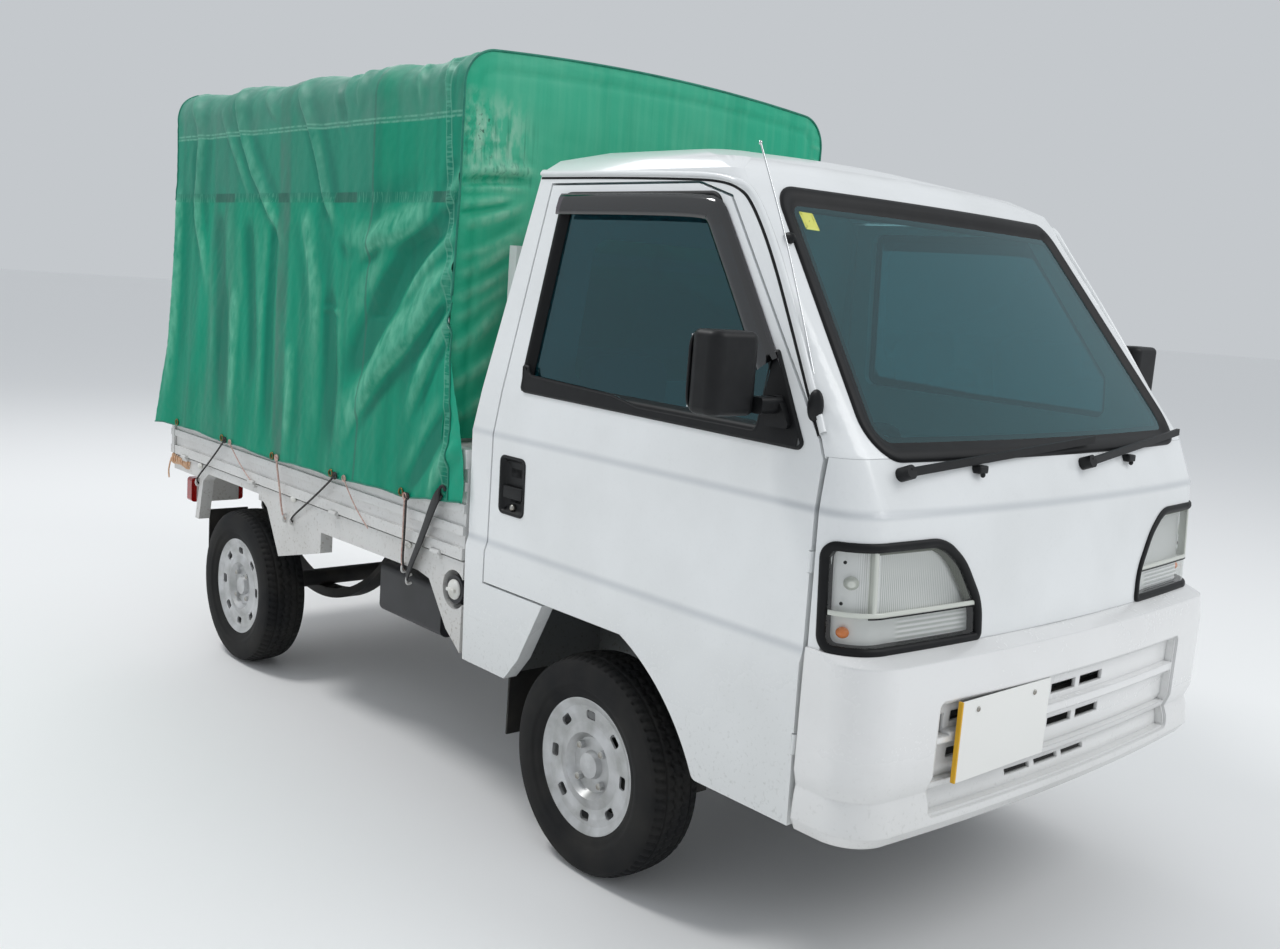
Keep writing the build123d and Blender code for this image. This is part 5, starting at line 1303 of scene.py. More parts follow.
def small_piece(name, place, size, finish, kind="sphere", body="root"):
    """A small moulded piece: a smooth ball or a rounded block of a size in millimetres."""
    mesh = bpy.data.meshes.new(name)
    shape = bmesh.new()
    if kind == "sphere":
        bmesh.ops.create_uvsphere(shape, u_segments=24, v_segments=14, radius=0.5)
    elif kind == "hex":
        bmesh.ops.create_cone(shape, cap_ends=True, segments=6, radius1=0.5, radius2=0.5, depth=1)
        bmesh.ops.rotate(shape, verts=shape.verts, matrix=Matrix.Rotation(math.pi / 2, 3, "Y"))
    else:
        bmesh.ops.create_cube(shape, size=1)
    for vert in shape.verts:
        vert.co = Vector([c * s * mm for c, s in zip(vert.co, size)])
    if kind != "sphere":
        rounding = 0.24 * min(size) * mm
        edges = list(shape.edges)
        bmesh.ops.bevel(shape, geom=edges, offset=rounding, segments=3, affect="EDGES", profile=0.6)
    for face in shape.faces:
        face.smooth = True
    shape.to_mesh(mesh)
    shape.free()
    mesh.materials.append(finish)
    piece = bpy.data.objects.new(name, mesh)
    piece.location = Vector([c * mm for c in place])
    scene.collection.objects.link(piece)
    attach(piece, body)
    return piece


print("bands and small pieces can be made now")

# %% [markdown]
# The strap and the twine are laid out beside the sill by distance out, station and height. The twine is
# wound flat, so that it stays clear of the lowered drop side.

# %% Strap, knobs, hooks and wound twine
strap_route = (
    # distance out, station, height
    (707, 680, 680),
    (703, 742, 580),
    (699, 756, 556),
)
strap_hook = ((4, 0, -22), (7, -4, 12), (0, -12, 22), (-2, -22, 8))
knob_rows = ((2170, 644), (1448, 650), (767, 644))
hook_rows = ((2190, 586), (1504, 584), (1455, 584), (783, 580), (756, 552))
hook_shape = (
    # distance out, height from the hook's place
    (684, 10),
    (699, 6),
    (701, -10),
    (694, -18),
    (684, -14),
)
twine_turns, twine_start, twine_run = 13, 2262, 165
loose_twine = ((698, 2436, 615), (701, 2442, 585), (702, 2432, 560))


def along_sill(side, route):
    """Points beside the sill, from rows of distance out, station and height."""
    return [(side * out, place + y_mm, z) for out, place, z in route]


for (side_name, side), pieces_of_side in zip(sides, lashings):
    top = lies_on_curtain(side, 583, 822, 6)
    strap_points = [top, lies_on_curtain(side, 600, 800, 7), *along_sill(side, strap_route)]
    strap = ribbon(f"rubber_strap_{side_name}", drawn(strap_points, 60), 30, 5, strap_rubber, turns=-0.06)
    hook_line = drawn([top + np.array([side * out, ahead, rise]) for out, ahead, rise in strap_hook], 16)
    bunch = tube(f"strap_hook_{side_name}", [hook_line], 4.5, strap_rubber, as_mesh=True)
    pieces_of_side += [strap, bunch]
    for number, (place, z) in enumerate(knob_rows):
        knob = f"lashing_knob_{side_name}_{number}"
        small_piece(knob, (side * 694, place + y_mm, z), (12, 34, 20), nylon_white)
    hook_lines = []
    for place, z in hook_rows:
        hook_lines.append(drawn(along_sill(side, [(out, place, z + rise) for out, rise in hook_shape]), 16))
    tube(f"sill_hooks_{side_name}", hook_lines, 3.5, bed_enamel)
    winding = []
    for step in np.linspace(0, 1, 260):
        angle = 2 * math.pi * twine_turns * step
        place = twine_start + twine_run * step + 5 * math.sin(17 * step)
        radius = 11 + 3 * math.sin(9 * step) + 4 * step
        out = 693 + 0.3 * radius * math.cos(angle)
        winding.append((side * out, place + y_mm, 628 + 8 * step + radius * math.sin(angle)))
    loose_end = drawn([winding[-1], *along_sill(side, loose_twine)], 20)
    tube(f"wound_twine_{side_name}", [winding, loose_end], 2.8, twine_peach)
print("strap, knobs and twine are in place")

# %% [markdown]
# The cloth rests on the hoops. Each curtain and the lashings of its side get meshes of their own. Each sheet
# is then
# declared with its flat size and what holds it.

# %% Curtains and lashings with their own meshes
for (side_name, side), pieces_of_side in zip(sides, lashings):
    curtain = bpy.data.objects[f"tarpaulin_curtain_{side_name}"]
    for piece in (curtain, *pieces_of_side):
        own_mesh(piece)

# %% [markdown]
# ## The cab's skin as a formula
# Seals, lenses and trim lie on the cab, so their points come from the same plan outlines as the CAD:
# a shallow arc across the nose, a quarter circle round each corner and a straight side. A place on the
# skin is its distance along that outline from the middle, and its height.

# %% Points on the cab's skin
cab_rows = (
    # height, half width, front station, sweep of the arc, corner radius
    (368, 689, -812, 32, 95),
    (702, 697, -803, 32, 95),
    (727, 689, -802, 32, 95),
    (1000, 693, -788, 35, 95),
    (1106, 682, -745, 40, 70),
    (1608, 606, -357, 42, 24),
    (1645, 600, -325, 42, 24),
    (1677, 552, -272, 50, 60),
    (1713, 407, -110, 50, 80),
    (1738, 227, 90, 30, 80),
)
skin_heights, *skin_columns = zip(*cab_rows)


def skin_plan(along, z):
    """Points of the skin at distances along its outline from the middle, and heights."""
    half, front, sweep, corner = (np.interp(z, skin_heights, column) for column in skin_columns)
    flat, away = half - corner, np.abs(along)
    turn = np.clip((away - flat) / corner, 0, math.pi / 2)
    back = np.maximum(away - flat - corner * math.pi / 2, 0)
    x = np.minimum(away, flat) + corner * np.sin(turn)
    place = front + sweep * np.minimum(away / flat, 1) ** 2 + corner * (1 - np.cos(turn)) + back
    return np.stack([np.sign(along) * x, place + y_mm, z], -1)


def on_skin(along, z, out):
    """Points of the skin moved outwards by some millimetres."""
    along, z = np.broadcast_arrays(np.asarray(along, float), np.asarray(z, float))
    across = skin_plan(along + 1, z) - skin_plan(along - 1, z)
    upward = skin_plan(along, z + 1) - skin_plan(along, z - 1)
    normal = np.cross(across, upward)
    normal /= np.linalg.norm(normal, axis=-1, keepdims=True)
    return skin_plan(along, z) + normal * np.asarray(out, float)[..., None]


def on_side(side):
    """A way to give points of the cab's side by station and height instead."""

    def place_point(place, z, out):
        half, front, sweep, corner = (np.interp(z, skin_heights, column) for column in skin_columns)
        along = half - corner + corner * math.pi / 2 + place - front - sweep - corner
        return on_skin(side * along, z, out)

    return place_point


print("skin half width at the lamps:", float(np.interp(840, skin_heights, skin_columns[0])))

# %% [markdown]
# An outline is a closed line through corners, each rounded by its own radius. A strip is a section
# carried along such a line, with the section given as distance across the line and height off the skin.

# %% Outlines and strips
def rounded_outline(corners, radii, step=6.0):
    """Evenly spaced closed outline through some corners, each rounded by its own radius."""
    corners = np.asarray(corners, float)
    line = []
    for here, before, after, radius in zip(corners, np.roll(corners, 1, 0), np.roll(corners, -1, 0), radii):
        into, out = ((end - here) / np.linalg.norm(end - here) for end in (before, after))
        half_angle = math.acos(np.clip(into @ out, -1, 1)) / 2
        centre = here + (into + out) / np.linalg.norm(into + out) * radius / math.sin(half_angle)
        first, last = (here + way * radius / math.tan(half_angle) - centre for way in (into, out))
        start = math.atan2(first[1], first[0])
        sweep = (math.atan2(last[1], last[0]) - start + math.pi) % (2 * math.pi) - math.pi
        arc = np.linspace(start, start + sweep, 13)
        line += [centre + radius * np.array([math.cos(a), math.sin(a)]) for a in arc]
    line = np.array(line + line[:1])
    lengths = np.concatenate([[0], np.cumsum(np.linalg.norm(np.diff(line, axis=0), axis=1))])
    even = np.linspace(0, lengths[-1], int(lengths[-1] / step) + 1)[:-1]
    return np.stack([np.interp(even, lengths, line[:, axis]) for axis in (0, 1)], -1)


def strip(name, path, rows, finish, place_point, body="root", closed=True, mirrored=False):
    """A moulded strip along a flat path: rows give its section as (distance across, height off the skin)."""
    path = np.asarray(path, float)
    if mirrored:
        path = path * [-1, 1]
    ahead = np.roll(path, -1, 0) - np.roll(path, 1, 0) if closed else np.gradient(path, axis=0)
    ahead /= np.linalg.norm(ahead, axis=1)[:, None]
    across = np.stack([ahead[:, 1], -ahead[:, 0]], -1) * (-1 if mirrored else 1)
    lines = [place_point(*(path + across * distance).T, height) for distance, height in rows]
    points = np.stack(lines, 1)
    if closed:
        points = np.concatenate([points, points[:1]])
    return grid_mesh(name, points, finish, body)


print("points round a small square:", len(rounded_outline(((0, 0), (90, 0), (90, 90), (0, 90)), (9,) * 4)))

# %% [markdown]
# ## Window seals, weather shields and belt trim
# The windscreen sits in a broad black EPDM profile. Each door window has a narrower one, a deep belt
# moulding of black ABS that ends in the corner piece behind the mirror, and a smoked acrylic shield
# along its upper edge that keeps rain out when the glass is lowered a little.

# %% Windscreen seal and door window trim
screen_path = rounded_outline(
    ((-604, 1106), (604, 1106), (515, 1604), (-515, 1604)), (58, 58, 50, 50), step=8
)
screen_seal_rows = ((13, -1), (12, 2.5), (5, 4.5), (-7, 3.5), (-14, -2), (-26, -5.2), (-34, -5.4), (-35, -8))
strip("windscreen_seal", screen_path, screen_seal_rows, epdm_rubber, on_skin)

window_path = rounded_outline(
    ((-492, 1127), (306, 1135), (272, 1588), (-240, 1588), (-492, 1236)), (20, 28, 28, 34, 28), step=7
)
window_seal_rows = ((9, -1), (8, 2), (2, 3), (-6, 2), (-10, -6), (-17, -13), (-18, -16))
belt_path = rounded_outline(
    ((-588, 1104), (300, 1116), (314, 1181), (289, 1179), (283, 1158), (-30, 1146), (-120, 1130),
     (-470, 1127), (-476, 1283), (-492, 1286), (-596, 1116)),
    (14, 14, 6, 5, 18, 60, 60, 10, 10, 5, 10), step=5,
)
shield_rows = ((26, 2.5), (25, 8), (14, 13), (-10, 16), (-24, 15), (-25, 13))
shield_corners = ((278, 1566), (252, 1566), (-60, 1566), (-232, 1562), (-252, 1550), (-270, 1528),
                  (-370, 1396), (-474, 1254))
shield_line = rounded_line(shield_corners, 3)
belt_rows = ((1, -1), (1, 3), (-2, 5.5), (-5, 6))
belt_tops = (
    # station, upper edge of the belt trim: the peak is the corner piece behind the mirror
    (-583, 1128), (-572, 1150), (-500, 1262), (-484, 1278), (-472, 1128), (-120, 1131), (-30, 1147),
    (283, 1160), (305, 1178),
)
belt_places = np.linspace(-583, 305, 150)
belt_top = np.interp(belt_places, *zip(*belt_tops))
belt_bottom = np.interp(belt_places, (-583, 300, 305), (1106.5, 1118, 1126))
belt_z = belt_bottom + np.linspace(0, 1, 7)[:, None] * (belt_top - belt_bottom)
for side_name, side in sides:
    door = f"door_{side_name}"
    place_point = on_side(side)
    strip(f"window_seal_{side_name}", window_path, window_seal_rows, epdm_rubber, place_point, door)
    strip(f"belt_edge_{side_name}", belt_path, belt_rows, grained_abs, place_point, door)
    face = place_point(np.tile(belt_places, (7, 1)), belt_z, np.full(belt_z.shape, 5.5))
    grid_mesh(f"belt_trim_{side_name}", face, grained_abs, door)
    shield = f"weather_shield_{side_name}"
    strip(shield, shield_line, shield_rows, smoked_acrylic, place_point, door, closed=False)
print("screen seal points:", len(screen_path), "door seal points:", len(window_path))

# %% [markdown]
# ## Drip rails and door handles
# A rolled steel rail runs above each door and down the windscreen pillar. The door handle is a black
# ABS cup with a lever across its lower half.

# %% Drip rails and door handles
rail_corners = ((376, 1640), (100, 1637), (-145, 1631), (-240, 1626), (-300, 1612), (-340, 1585),
                (-422, 1479), (-530, 1310), (-634, 1141))
rail_line = rounded_line(rail_corners, 3)
rail_rows = ((7, 0), (6, 6), (2, 8), (-3, 7), (-4, 2), (-7, 0.4))
groove_rows = ((-6, 0.3), (-7, 0.9), (-11, 0.9), (-12, 0.3))
cup_path = rounded_outline(((256, 811), (358, 811), (358, 955), (256, 955)), (16, 16, 16, 16), step=5)
cup_rows = ((1.5, 0.2), (0.5, 2), (-4, 2.2), (-7, 0), (-9, -8), (-16, -12), (-30, -13), (-51, -13))
for side_name, side in sides:
    place_point = on_side(side)
    strip(f"drip_rail_{side_name}", rail_line, rail_rows, body_enamel, place_point, closed=False)
    strip(f"drip_groove_{side_name}", rail_line, groove_rows, epdm_rubber, place_point, closed=False)
    door = f"door_{side_name}"
    strip(f"handle_cup_{side_name}", cup_path, cup_rows, grained_abs, place_point, door)
    lever = place_point(307, 866, -6)
    small_piece(f"handle_lever_{side_name}", lever, (10, 78, 30), grained_abs, kind="block", body=door)
    lock = place_point(312, 828, -9)
    small_piece(f"door_lock_{side_name}", lock, (16, 18, 18), bare_zinc, body=door)
print("drip rail points:", len(rail_line))

# %% [markdown]
# ## Headlamps
# Each lamp has three lenses behind one rubber frame: a side marker at the corner, the main lens beside
# it and a turn signal along the bottom. Behind the clear plastic lie a pressed and aluminised bowl and
# a grey bezel. The flutes spread the beam, and here they are real ribs in the lens surface, with a
# faint tint in their valleys that stands for the bending of light in thick plastic.

# %% Lamp finishes
def fluted(name, bright, dim):
    """Clear ribbed plastic with painted shade in its valleys, placed by the mesh's own mark."""
    finish = pane(name, bright, 0.06, haze=0.05)
    tree = finish.node_tree
    mark = add_node(tree, "ShaderNodeAttribute", attribute_name="mark").outputs["Fac"]
    # The dim tone in the flutes' valleys is painted shade that stands for light bent in thick plastic.
    tint = add_node(
        tree,
        "ShaderNodeMix",
        {FACTOR: mark, FIRST: linear(bright), SECOND: linear(dim)},
        data_type="RGBA",
    ).outputs[MIXED]
    clear = next(node for node in tree.nodes if node.type == "BSDF_TRANSPARENT")
    tree.links.new(tint, clear.inputs["Color"])
    return finish


fluted_clear = fluted("fluted_clear_lens", "#ffffff", "#c3c7c2")
bowl_metal = new_finish("aluminised_lamp_bowl", "#ffffff", 0.3, Metallic=0.15)[0]
bezel_grey = new_finish("grey_lamp_bezel", "#74776f", 0.45, IOR=1.5)[0]
lens_rim = new_finish("frosted_lens_rim", "#d0d3ca", 0.3, IOR=1.5, Coat_Weight=0.4)[0]
amber_bulb = new_finish("amber_bulb_glass", "#ff8a1c", 0.12, IOR=1.5, Coat_Weight=0.6)[0]
dark_screw = new_finish("blackened_screw", "#2b2b2a", 0.4, Metallic=0.6)[0]
print("lamp finishes:", fluted_clear.name, bowl_metal.name, bezel_grey.name, amber_bulb.name)

# %% [markdown]
# Two rows of heights and distances give the lamp's slanting inner edge. Thin strips divide the lenses,
# and tables list those strips and the bulbs and screws that show through.

# %% Outline and parts of a lamp
lamp_path = rounded_outline(
    ((322, 739), (735, 739), (735, 945), (446, 947), (384, 900), (326, 812)),
    (14, 30, 32, 105, 150, 120),
    step=5,
)
frame_rows = ((5, -0.5), (4.5, 3.5), (1, 6), (-6, 6.5), (-11, 4.5), (-13.5, 0), (-14.5, -12), (-15, -34))
inner_edge_z = (744, 756, 812, 840, 880, 905, 924, 934)
inner_edge_along = (344, 337, 341, 355, 384, 406, 432, 456)


def lens_grid(low, high, along_first, along_last, rows, columns):
    """Grid of (along, z) between two heights; an edge given as None follows the lamp's inner edge."""
    z = np.linspace(low, high, rows)[:, None]
    edge = np.interp(z, inner_edge_z, inner_edge_along)
    first = edge if along_first is None else np.full_like(z, along_first)
    share = np.linspace(0, 1, columns)[None, :]
    return first + share * (along_last - first), np.broadcast_to(z, (rows, columns)), share


rim_rows = ((5, -1), (4, 1.5), (-4, 1.5), (-5, -1), (-4.5, -18))
slot_rows = ((1.6, 1.3), (1.2, 1.9), (-1.2, 1.9), (-1.6, 1.3))
bezel_rows = ((9, -3), (6, -5), (-4, -8), (-8, -16))
rib_line = np.stack([np.full(30, 629.0), np.linspace(932, 814, 30)], -1)
ledge_line = np.stack([np.linspace(718, 345, 80), np.full(80, 814.0)], -1)
bezel_z = np.linspace(821, 934, 40)
bezel_side = np.stack([np.interp(bezel_z, inner_edge_z, inner_edge_along) + 8, bezel_z], -1)
bezel_top = np.stack([np.linspace(466, 622, 40), np.full(40, 933.0)], -1)
lamp_strips = (
    # name, line, section, finish
    ("lens_rib", rib_line, rim_rows, lens_rim),
    ("lens_ledge", ledge_line, rim_rows, lens_rim),
    ("lens_gap", ledge_line[16:] - [0, 6], slot_rows, epdm_rubber),
    ("lamp_bezel", np.concatenate([bezel_side, bezel_top])[::-1], bezel_rows, bezel_grey),
)
lamp_details = (
    # place along and height, depth, size, finish
    ((690, 777, -14), (26, 26, 22), amber_bulb),
    ((690, 912, -2), (7, 7, 7), dark_screw),
    ((694, 834, -2), (7, 7, 7), dark_screw),
    ((676, 872, -14), (30, 30, 26), lens_rim),
)
print("outline of a lamp:", len(lamp_path), "points;", len(lamp_strips), "strips")

# %% Lamps in place
for side_name, side in sides:
    lamp = f"headlamp_{side_name}"
    made = [strip(f"lamp_frame_{side_name}", lamp_path, frame_rows, epdm_rubber, on_skin, mirrored=side < 0)]

    along, z, share = lens_grid(742, 936, None, 724, 60, 90)
    upward = np.sin(math.pi * np.clip((z - 814) / 118, 0, 1))
    bowl = -20 - 18 * upward * np.sin(math.pi * np.clip(share * 1.35, 0, 1))
    made.append(grid_mesh(f"lamp_bowl_{side_name}", on_skin(side * along, z, bowl), bowl_metal))

    along, z, share = lens_grid(819, 929, None, 620, 50, 230)
    ribs = np.cos(2 * math.pi * along / 5.2)
    lens = on_skin(side * along, z, 0.4 * ribs - 1)
    mark = 0.5 - 0.5 * ribs * np.clip((905 - z) / 20, 0.25, 1)
    made.append(grid_mesh(f"main_lens_{side_name}", lens, fluted_clear, mark=mark))

    along, z, share = lens_grid(819, 933, 638, 720, 50, 90)
    ribs = np.cos(2 * math.pi * along / 4.2) * np.clip((670 - along) / 12, 0, 1)
    lens = on_skin(side * along, z, 0.4 * ribs - 1)
    made.append(grid_mesh(f"marker_lens_{side_name}", lens, fluted_clear, mark=0.35 - 0.35 * ribs))

    along, z, share = lens_grid(746, 809, None, 722, 70, 120)
    block = np.clip((np.abs(along - 470) - 100) / 8, -1, 1) * 0.5 + 0.5
    ribs = np.cos(2 * math.pi * z / 9.5) * (1 - block) * np.clip((806 - z) / 6, 0, 1)
    lens = on_skin(side * along, z, 0.6 * ribs - 1)
    made.append(grid_mesh(f"signal_lens_{side_name}", lens, fluted_clear, mark=0.45 - 0.45 * ribs))

    for strip_name, line, rows, finish in lamp_strips:
        strip_name = f"{strip_name}_{side_name}"
        made.append(strip(strip_name, line, rows, finish, on_skin, closed=False, mirrored=side < 0))
    for number, ((bulb_along, bulb_z, depth), size, finish) in enumerate(lamp_details):
        place = on_skin(side * bulb_along, bulb_z, depth)
        made.append(small_piece(f"lamp_detail_{side_name}_{number}", place, size, finish))
    for piece in made:
        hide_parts(lamp)
print("lamp pieces on each side:", len(made))

# %% [markdown]
# ## Tyres with tread
# The tyres are 145 mm wide with a light-truck tread: four grooves round the tyre, the middle ones in a
# zigzag, and short cuts across both shoulders. The mesh is one profile turned round the axle, with the
# grooves cut into its points. The side walls keep a moulded rim guard and a step, and no lettering.

# %% Tyres and wheel nuts
tyre_profile = (
    # distance across from the middle, radius, from the outer bead over the tread to the inner bead
    (56, 160), (59, 167), (62, 171), (64, 174), (65.5, 180), (69, 190), (70.5, 191), (71, 200), (72, 208),
    (72.5, 216), (72, 226), (70.5, 236), (68.5, 244), (67.5, 247), (66.5, 248), (65.5, 250), (63, 253),
    (60, 255.5), (56, 257.5), (53, 258.5), (50, 259.4), (46, 260.4), (42, 261.2), (39, 261.7), (38, 261.8),
    (35.5, 262.1), (33, 262.4), (32, 262.5), (28, 262.9), (22, 263.3), (17, 263.6), (15, 263.7),
    (12.5, 263.8), (10, 263.9), (8, 264), (4, 264), (0, 264),
)
half_profile = np.array(tyre_profile)
profile = np.concatenate([half_profile, half_profile[-2::-1] * [-1, 1]])
turn_steps = 360
angles = np.linspace(0, 2 * math.pi, turn_steps + 1)[:, None]
across, radius = profile[:, 0][None, :], profile[:, 1][None, :]
zigzag = 2.6 * np.sign(np.sin(angles * 60)) * (np.abs(across) < 25)
tread = radius > 250
ring_grooves = sum(
    np.clip(1.35 - np.abs(np.abs(across + zigzag * (line < 25)) - line) / 2.6, 0, 1) for line in (12.5, 35.5)
)
shoulders = (np.abs(across) > 41) * (radius > 253)
cuts = np.clip((np.cos(angles * 72 + 0.05 * across) - 0.35) * 3, 0, 1) * shoulders
small_cuts = np.clip((np.cos(angles * 60 + 1.2) - 0.86) * 9, 0, 1) * (np.abs(across) < 31) * tread
depth = tread * np.maximum(6.5 * np.clip(ring_grooves, 0, 1), np.maximum(5.0 * cuts, 2.5 * small_cuts))
tyre_radii = radius - depth
nut_angles = [math.radians(45 + 90 * quarter) for quarter in range(4)]
for place in ("front_right", "front_left", "rear_right", "rear_left"):
    low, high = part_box(f"tyre_{place}")
    middle = (low + high) / 2 / mm
    side = -1 if "right" in place else 1
    x = middle.x + side * np.broadcast_to(across, tyre_radii.shape)
    y = middle.y + tyre_radii * np.cos(angles)
    z = middle.z + tyre_radii * np.sin(angles)
    tyre = grid_mesh(f"treaded_tyre_{place}", np.stack([x, y, z], -1), tyre_rubber, f"wheel_{place}")
    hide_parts(f"tyre_{place}")
    for number, angle in enumerate(nut_angles):
        nut_place = (middle.x + side * 40, middle.y + 55 * math.cos(angle), middle.z + 55 * math.sin(angle))
        nut_name = f"wheel_nut_{place}_{number}"
        small_piece(nut_name, nut_place, (17, 19, 19), bare_zinc, kind="hex", body=f"wheel_{place}")
print("tyre faces:", turn_steps * (len(profile) - 1))

# %% [markdown]
# ## Bare plate, cap, mirrors, aerial and washer jets
# The number plate is pressed aluminium with nothing on it, on a bracket with a yellow edge. The fuel cap
# is white plastic. A telescopic aerial leans on the windscreen pillar, held by two black clips.

# %% Small fittings
plate_white = new_finish("blank_plate_enamel", "#eeeeea", 0.35, IOR=1.5, Coat_Weight=0.3)[0]
plate_yellow = new_finish("yellow_plate_edge", "#e0ac1e", 0.4, IOR=1.5)[0]
sticker_yellow = new_finish("yellow_paper_label", "#dfe06a", 0.5, IOR=1.5)[0]
bright_chrome = new_finish("chromed_brass", "#d8dadb", 0.12, Metallic=1.0)[0]

plate_x, plate_y, plate_z = -278, -846 + y_mm, 558
small_piece("number_plate", (plate_x, plate_y, plate_z), (320, 2.4, 165), plate_white, kind="block")
small_piece("plate_bracket", (plate_x, plate_y + 6, plate_z), (300, 9, 150), bed_enamel, kind="block")
small_piece("plate_edge", (plate_x - 160, plate_y + 3, plate_z), (5, 10, 165), plate_yellow, kind="block")
for number, bolt_x in enumerate((-105, 100)):
    small_piece(f"plate_bolt_{number}", (plate_x + bolt_x, plate_y - 2, plate_z + 60), (11, 6, 11), bare_zinc)

# Behind the slots of the bumper hangs a black sheet, painted shade standing in for the dark space behind
# them.
guide_along, guide_z = np.meshgrid(np.linspace(-330, 330, 60), np.linspace(376, 560, 9), indexing="ij")
grid_mesh("slot_shade_sheet", on_skin(guide_along, guide_z, -52), chassis_black)

small_piece("fuel_cap", (-688, 540 + y_mm, 570), (22, 54, 54), nylon_white)
small_piece("cap_grip", (-699, 540 + y_mm, 570), (8, 36, 9), nylon_white, kind="block")

aerial_places = ((-654, -601, 1196), (-628, -520, 1350), (-612, -440, 1512), (-609, -351, 1690))
aerial_line = [(x, place + y_mm, z) for x, place, z in aerial_places]
tube("aerial", [drawn(aerial_line, 24)], 1.9, bright_chrome)
small_piece("aerial_tip", aerial_line[-1], (7, 7, 9), bright_chrome)
small_piece("aerial_base", on_side(-1)(-604, 1188, 4), (24, 36, 64), grained_abs)
small_piece("aerial_clip", on_side(-1)(-446, 1504, 3), (18, 36, 24), grained_abs)

for number, (jet_x, jet_z) in enumerate(((-324, 1074), (273, 1074))):
    jet = on_skin(jet_x, jet_z, 7)
    small_piece(f"washer_jet_{number}", jet, (30, 22, 16), grained_abs, kind="block")
    small_piece(f"washer_nozzle_{number}", jet + np.array([0, -8, -10]), (10, 10, 12), grained_abs)

label_path = rounded_outline(((-486, 1532), (-447, 1531), (-444, 1568), (-483, 1569)), (3, 3, 3, 3), step=3)
label_rows = ((0, -5.2), (-1, -4.4), (-8, -4.4), (-18, -4.4))
strip("windscreen_label", label_path, label_rows, sticker_yellow, on_skin)

mirror_out, mirror_y, mirror_z = 792, -478 + y_mm, 1240


def squared(wave):
    """A sine or cosine that draws a rounded square in place of a circle."""
    return math.copysign(abs(wave) ** 0.35, wave)


for side_name, side in sides:
    door = f"door_{side_name}"
    glass_name, glass_place = f"mirror_glass_{side_name}", (side * mirror_out, mirror_y + 38.5, mirror_z)
    small_piece(glass_name, glass_place, (104, 3, 138), mirror_silver, kind="block", body=door)
    rim_path = []
    for angle in np.linspace(0, 2 * math.pi, 61)[:-1]:
        rim_x = side * (mirror_out + 56 * squared(math.cos(angle)))
        rim_path.append((rim_x, mirror_y + 37, mirror_z + 74 * squared(math.sin(angle))))
    tube(f"mirror_rim_{side_name}", [rim_path], 3, grained_abs, body=door, closed=True)
print("fittings are in place")

# %% [markdown]
# ## Seats
# The bench seats are vinyl over foam, full and a little rounded, with a separate head rest.

# %% Padded seats
def cushion(name, middle, size, squareness, finish):
    """A full cushion: a rounded block with softened faces, in millimetres."""
    rises, turns = np.linspace(-math.pi / 2, math.pi / 2, 40), np.linspace(0, 2 * math.pi, 81)
    rise, turn = np.meshgrid(rises, turns, indexing="ij")
    power = 2 / squareness

    def soft(wave):
        return np.sign(wave) * np.abs(wave) ** power

    level = soft(np.cos(rise))
    shape = np.stack([level * soft(np.cos(turn)), level * soft(np.sin(turn)), soft(np.sin(rise))], -1)
    return grid_mesh(name, np.array(middle) + shape * np.array(size) / 2, finish)


for side_name in ("right", "left"):
    low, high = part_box(f"seat_{side_name}")
    low, high = low / mm, high / mm
    middle, size = (low + high) / 2, high - low
    cushion_rows = (
        # name, y and z of the middle, size, squareness
        ("seat_base", middle.y, low.z + 75, (size.x, size.y, 150), 6),
        ("seat_back", high.y - 65, low.z + 130 + (size.z - 320) / 2, (size.x - 10, 130, size.z - 290), 5),
        ("head_rest", high.y - 62, high.z - 85, (size.x * 0.55, 95, 168), 4),
    )
    for cushion_name, y, z, cushion_size, squareness in cushion_rows:
        place = (middle.x, y, z)
        piece = cushion(f"{cushion_name}_{side_name}", place, cushion_size, squareness, seat_vinyl)
        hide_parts(f"seat_{side_name}")
print("seats are padded")

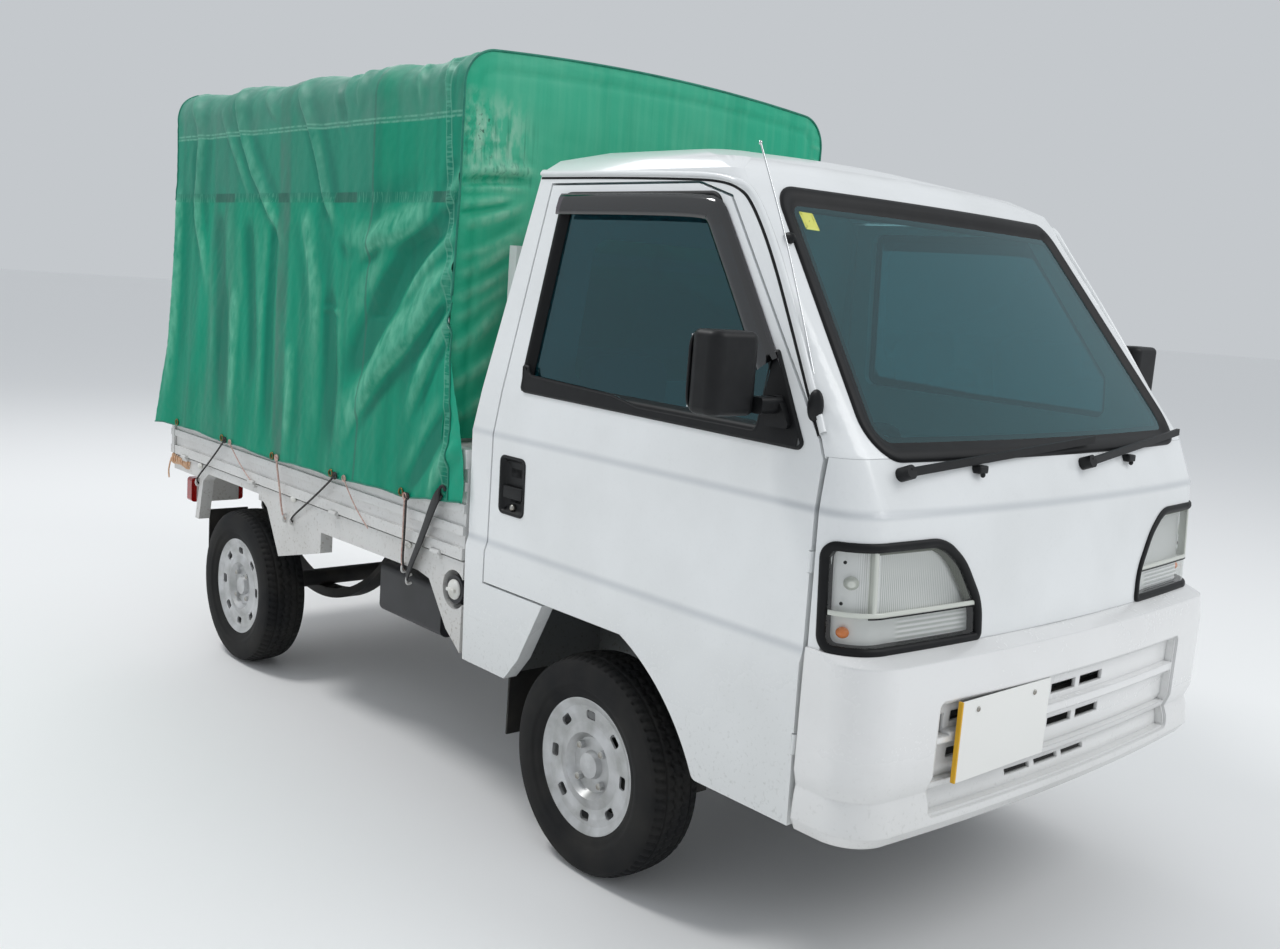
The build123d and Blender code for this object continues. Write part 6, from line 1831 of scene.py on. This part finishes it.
# %% [markdown]
# ## Studio
# The floor and the world behind it are plain and pale. A large soft lamp ahead of the lorry stands in
# for the bright part of the sky, so that the nose is lighter than the driver's side, and the world
# fills the rest evenly. Rays from the camera and in gloss or glass see the same pale backdrop.

# %% Studio
floor_tone, backdrop_tone = "#f0f0ef", "#c4c8cc"
bpy.ops.mesh.primitive_circle_add(vertices=96, radius=60, fill_type="NGON")
floor = bpy.context.object
floor.name = "studio_floor"
floor.data.materials.append(new_finish("matte_backdrop_paper", floor_tone, 0.9)[0])

world = bpy.data.worlds.new("studio")
world.use_nodes = True
scene.world = world
sky = world.node_tree
sky.nodes.clear()
path = add_node(sky, "ShaderNodeLightPath")
seen = add_node(
    sky,
    "ShaderNodeMath",
    {0: path.outputs["Is Camera Ray"], 1: path.outputs["Is Transmission Ray"]},
    operation="MAXIMUM",
).outputs["Value"]
seen = add_node(
    sky, "ShaderNodeMath", {0: seen, 1: path.outputs["Is Glossy Ray"]}, operation="MAXIMUM"
).outputs["Value"]
backdrop = add_node(
    sky, "ShaderNodeBackground", {"Color": linear(backdrop_tone), "Strength": 1.0}
).outputs["Background"]
fill_light = add_node(
    sky, "ShaderNodeBackground", {"Color": linear("#eef3f9"), "Strength": 0.70}
).outputs["Background"]
mixed_world = add_node(
    sky, "ShaderNodeMixShader", {0: seen, 1: fill_light, 2: backdrop}
).outputs["Shader"]
add_node(sky, "ShaderNodeOutputWorld", {"Surface": mixed_world})

lamp_rows = (
    # name, place, width, power
    ("sky_softbox", (3.0, -6.0, 6.5), 5.0, 190),
    ("raking_softbox", (-2.6, 2.6, 6.5), 1.6, 170),
    ("rear_softbox", (2.0, 6.0, 5.5), 4.0, 60),
)
for lamp_name, place, width, power in lamp_rows:
    lamp_data = bpy.data.lights.new(lamp_name, "AREA")
    lamp_data.shape = "DISK"
    lamp_data.size = width
    lamp_data.energy = power
    lamp = bpy.data.objects.new(lamp_name, lamp_data)
    scene.collection.objects.link(lamp)
    lamp.location = place
    lamp.rotation_euler = (Vector((0, 0, 0.9)) - Vector(place)).to_track_quat("-Z", "Y").to_euler()
scene.view_settings.view_transform = "Standard"
print("lamps:", [row[0] for row in lamp_rows])
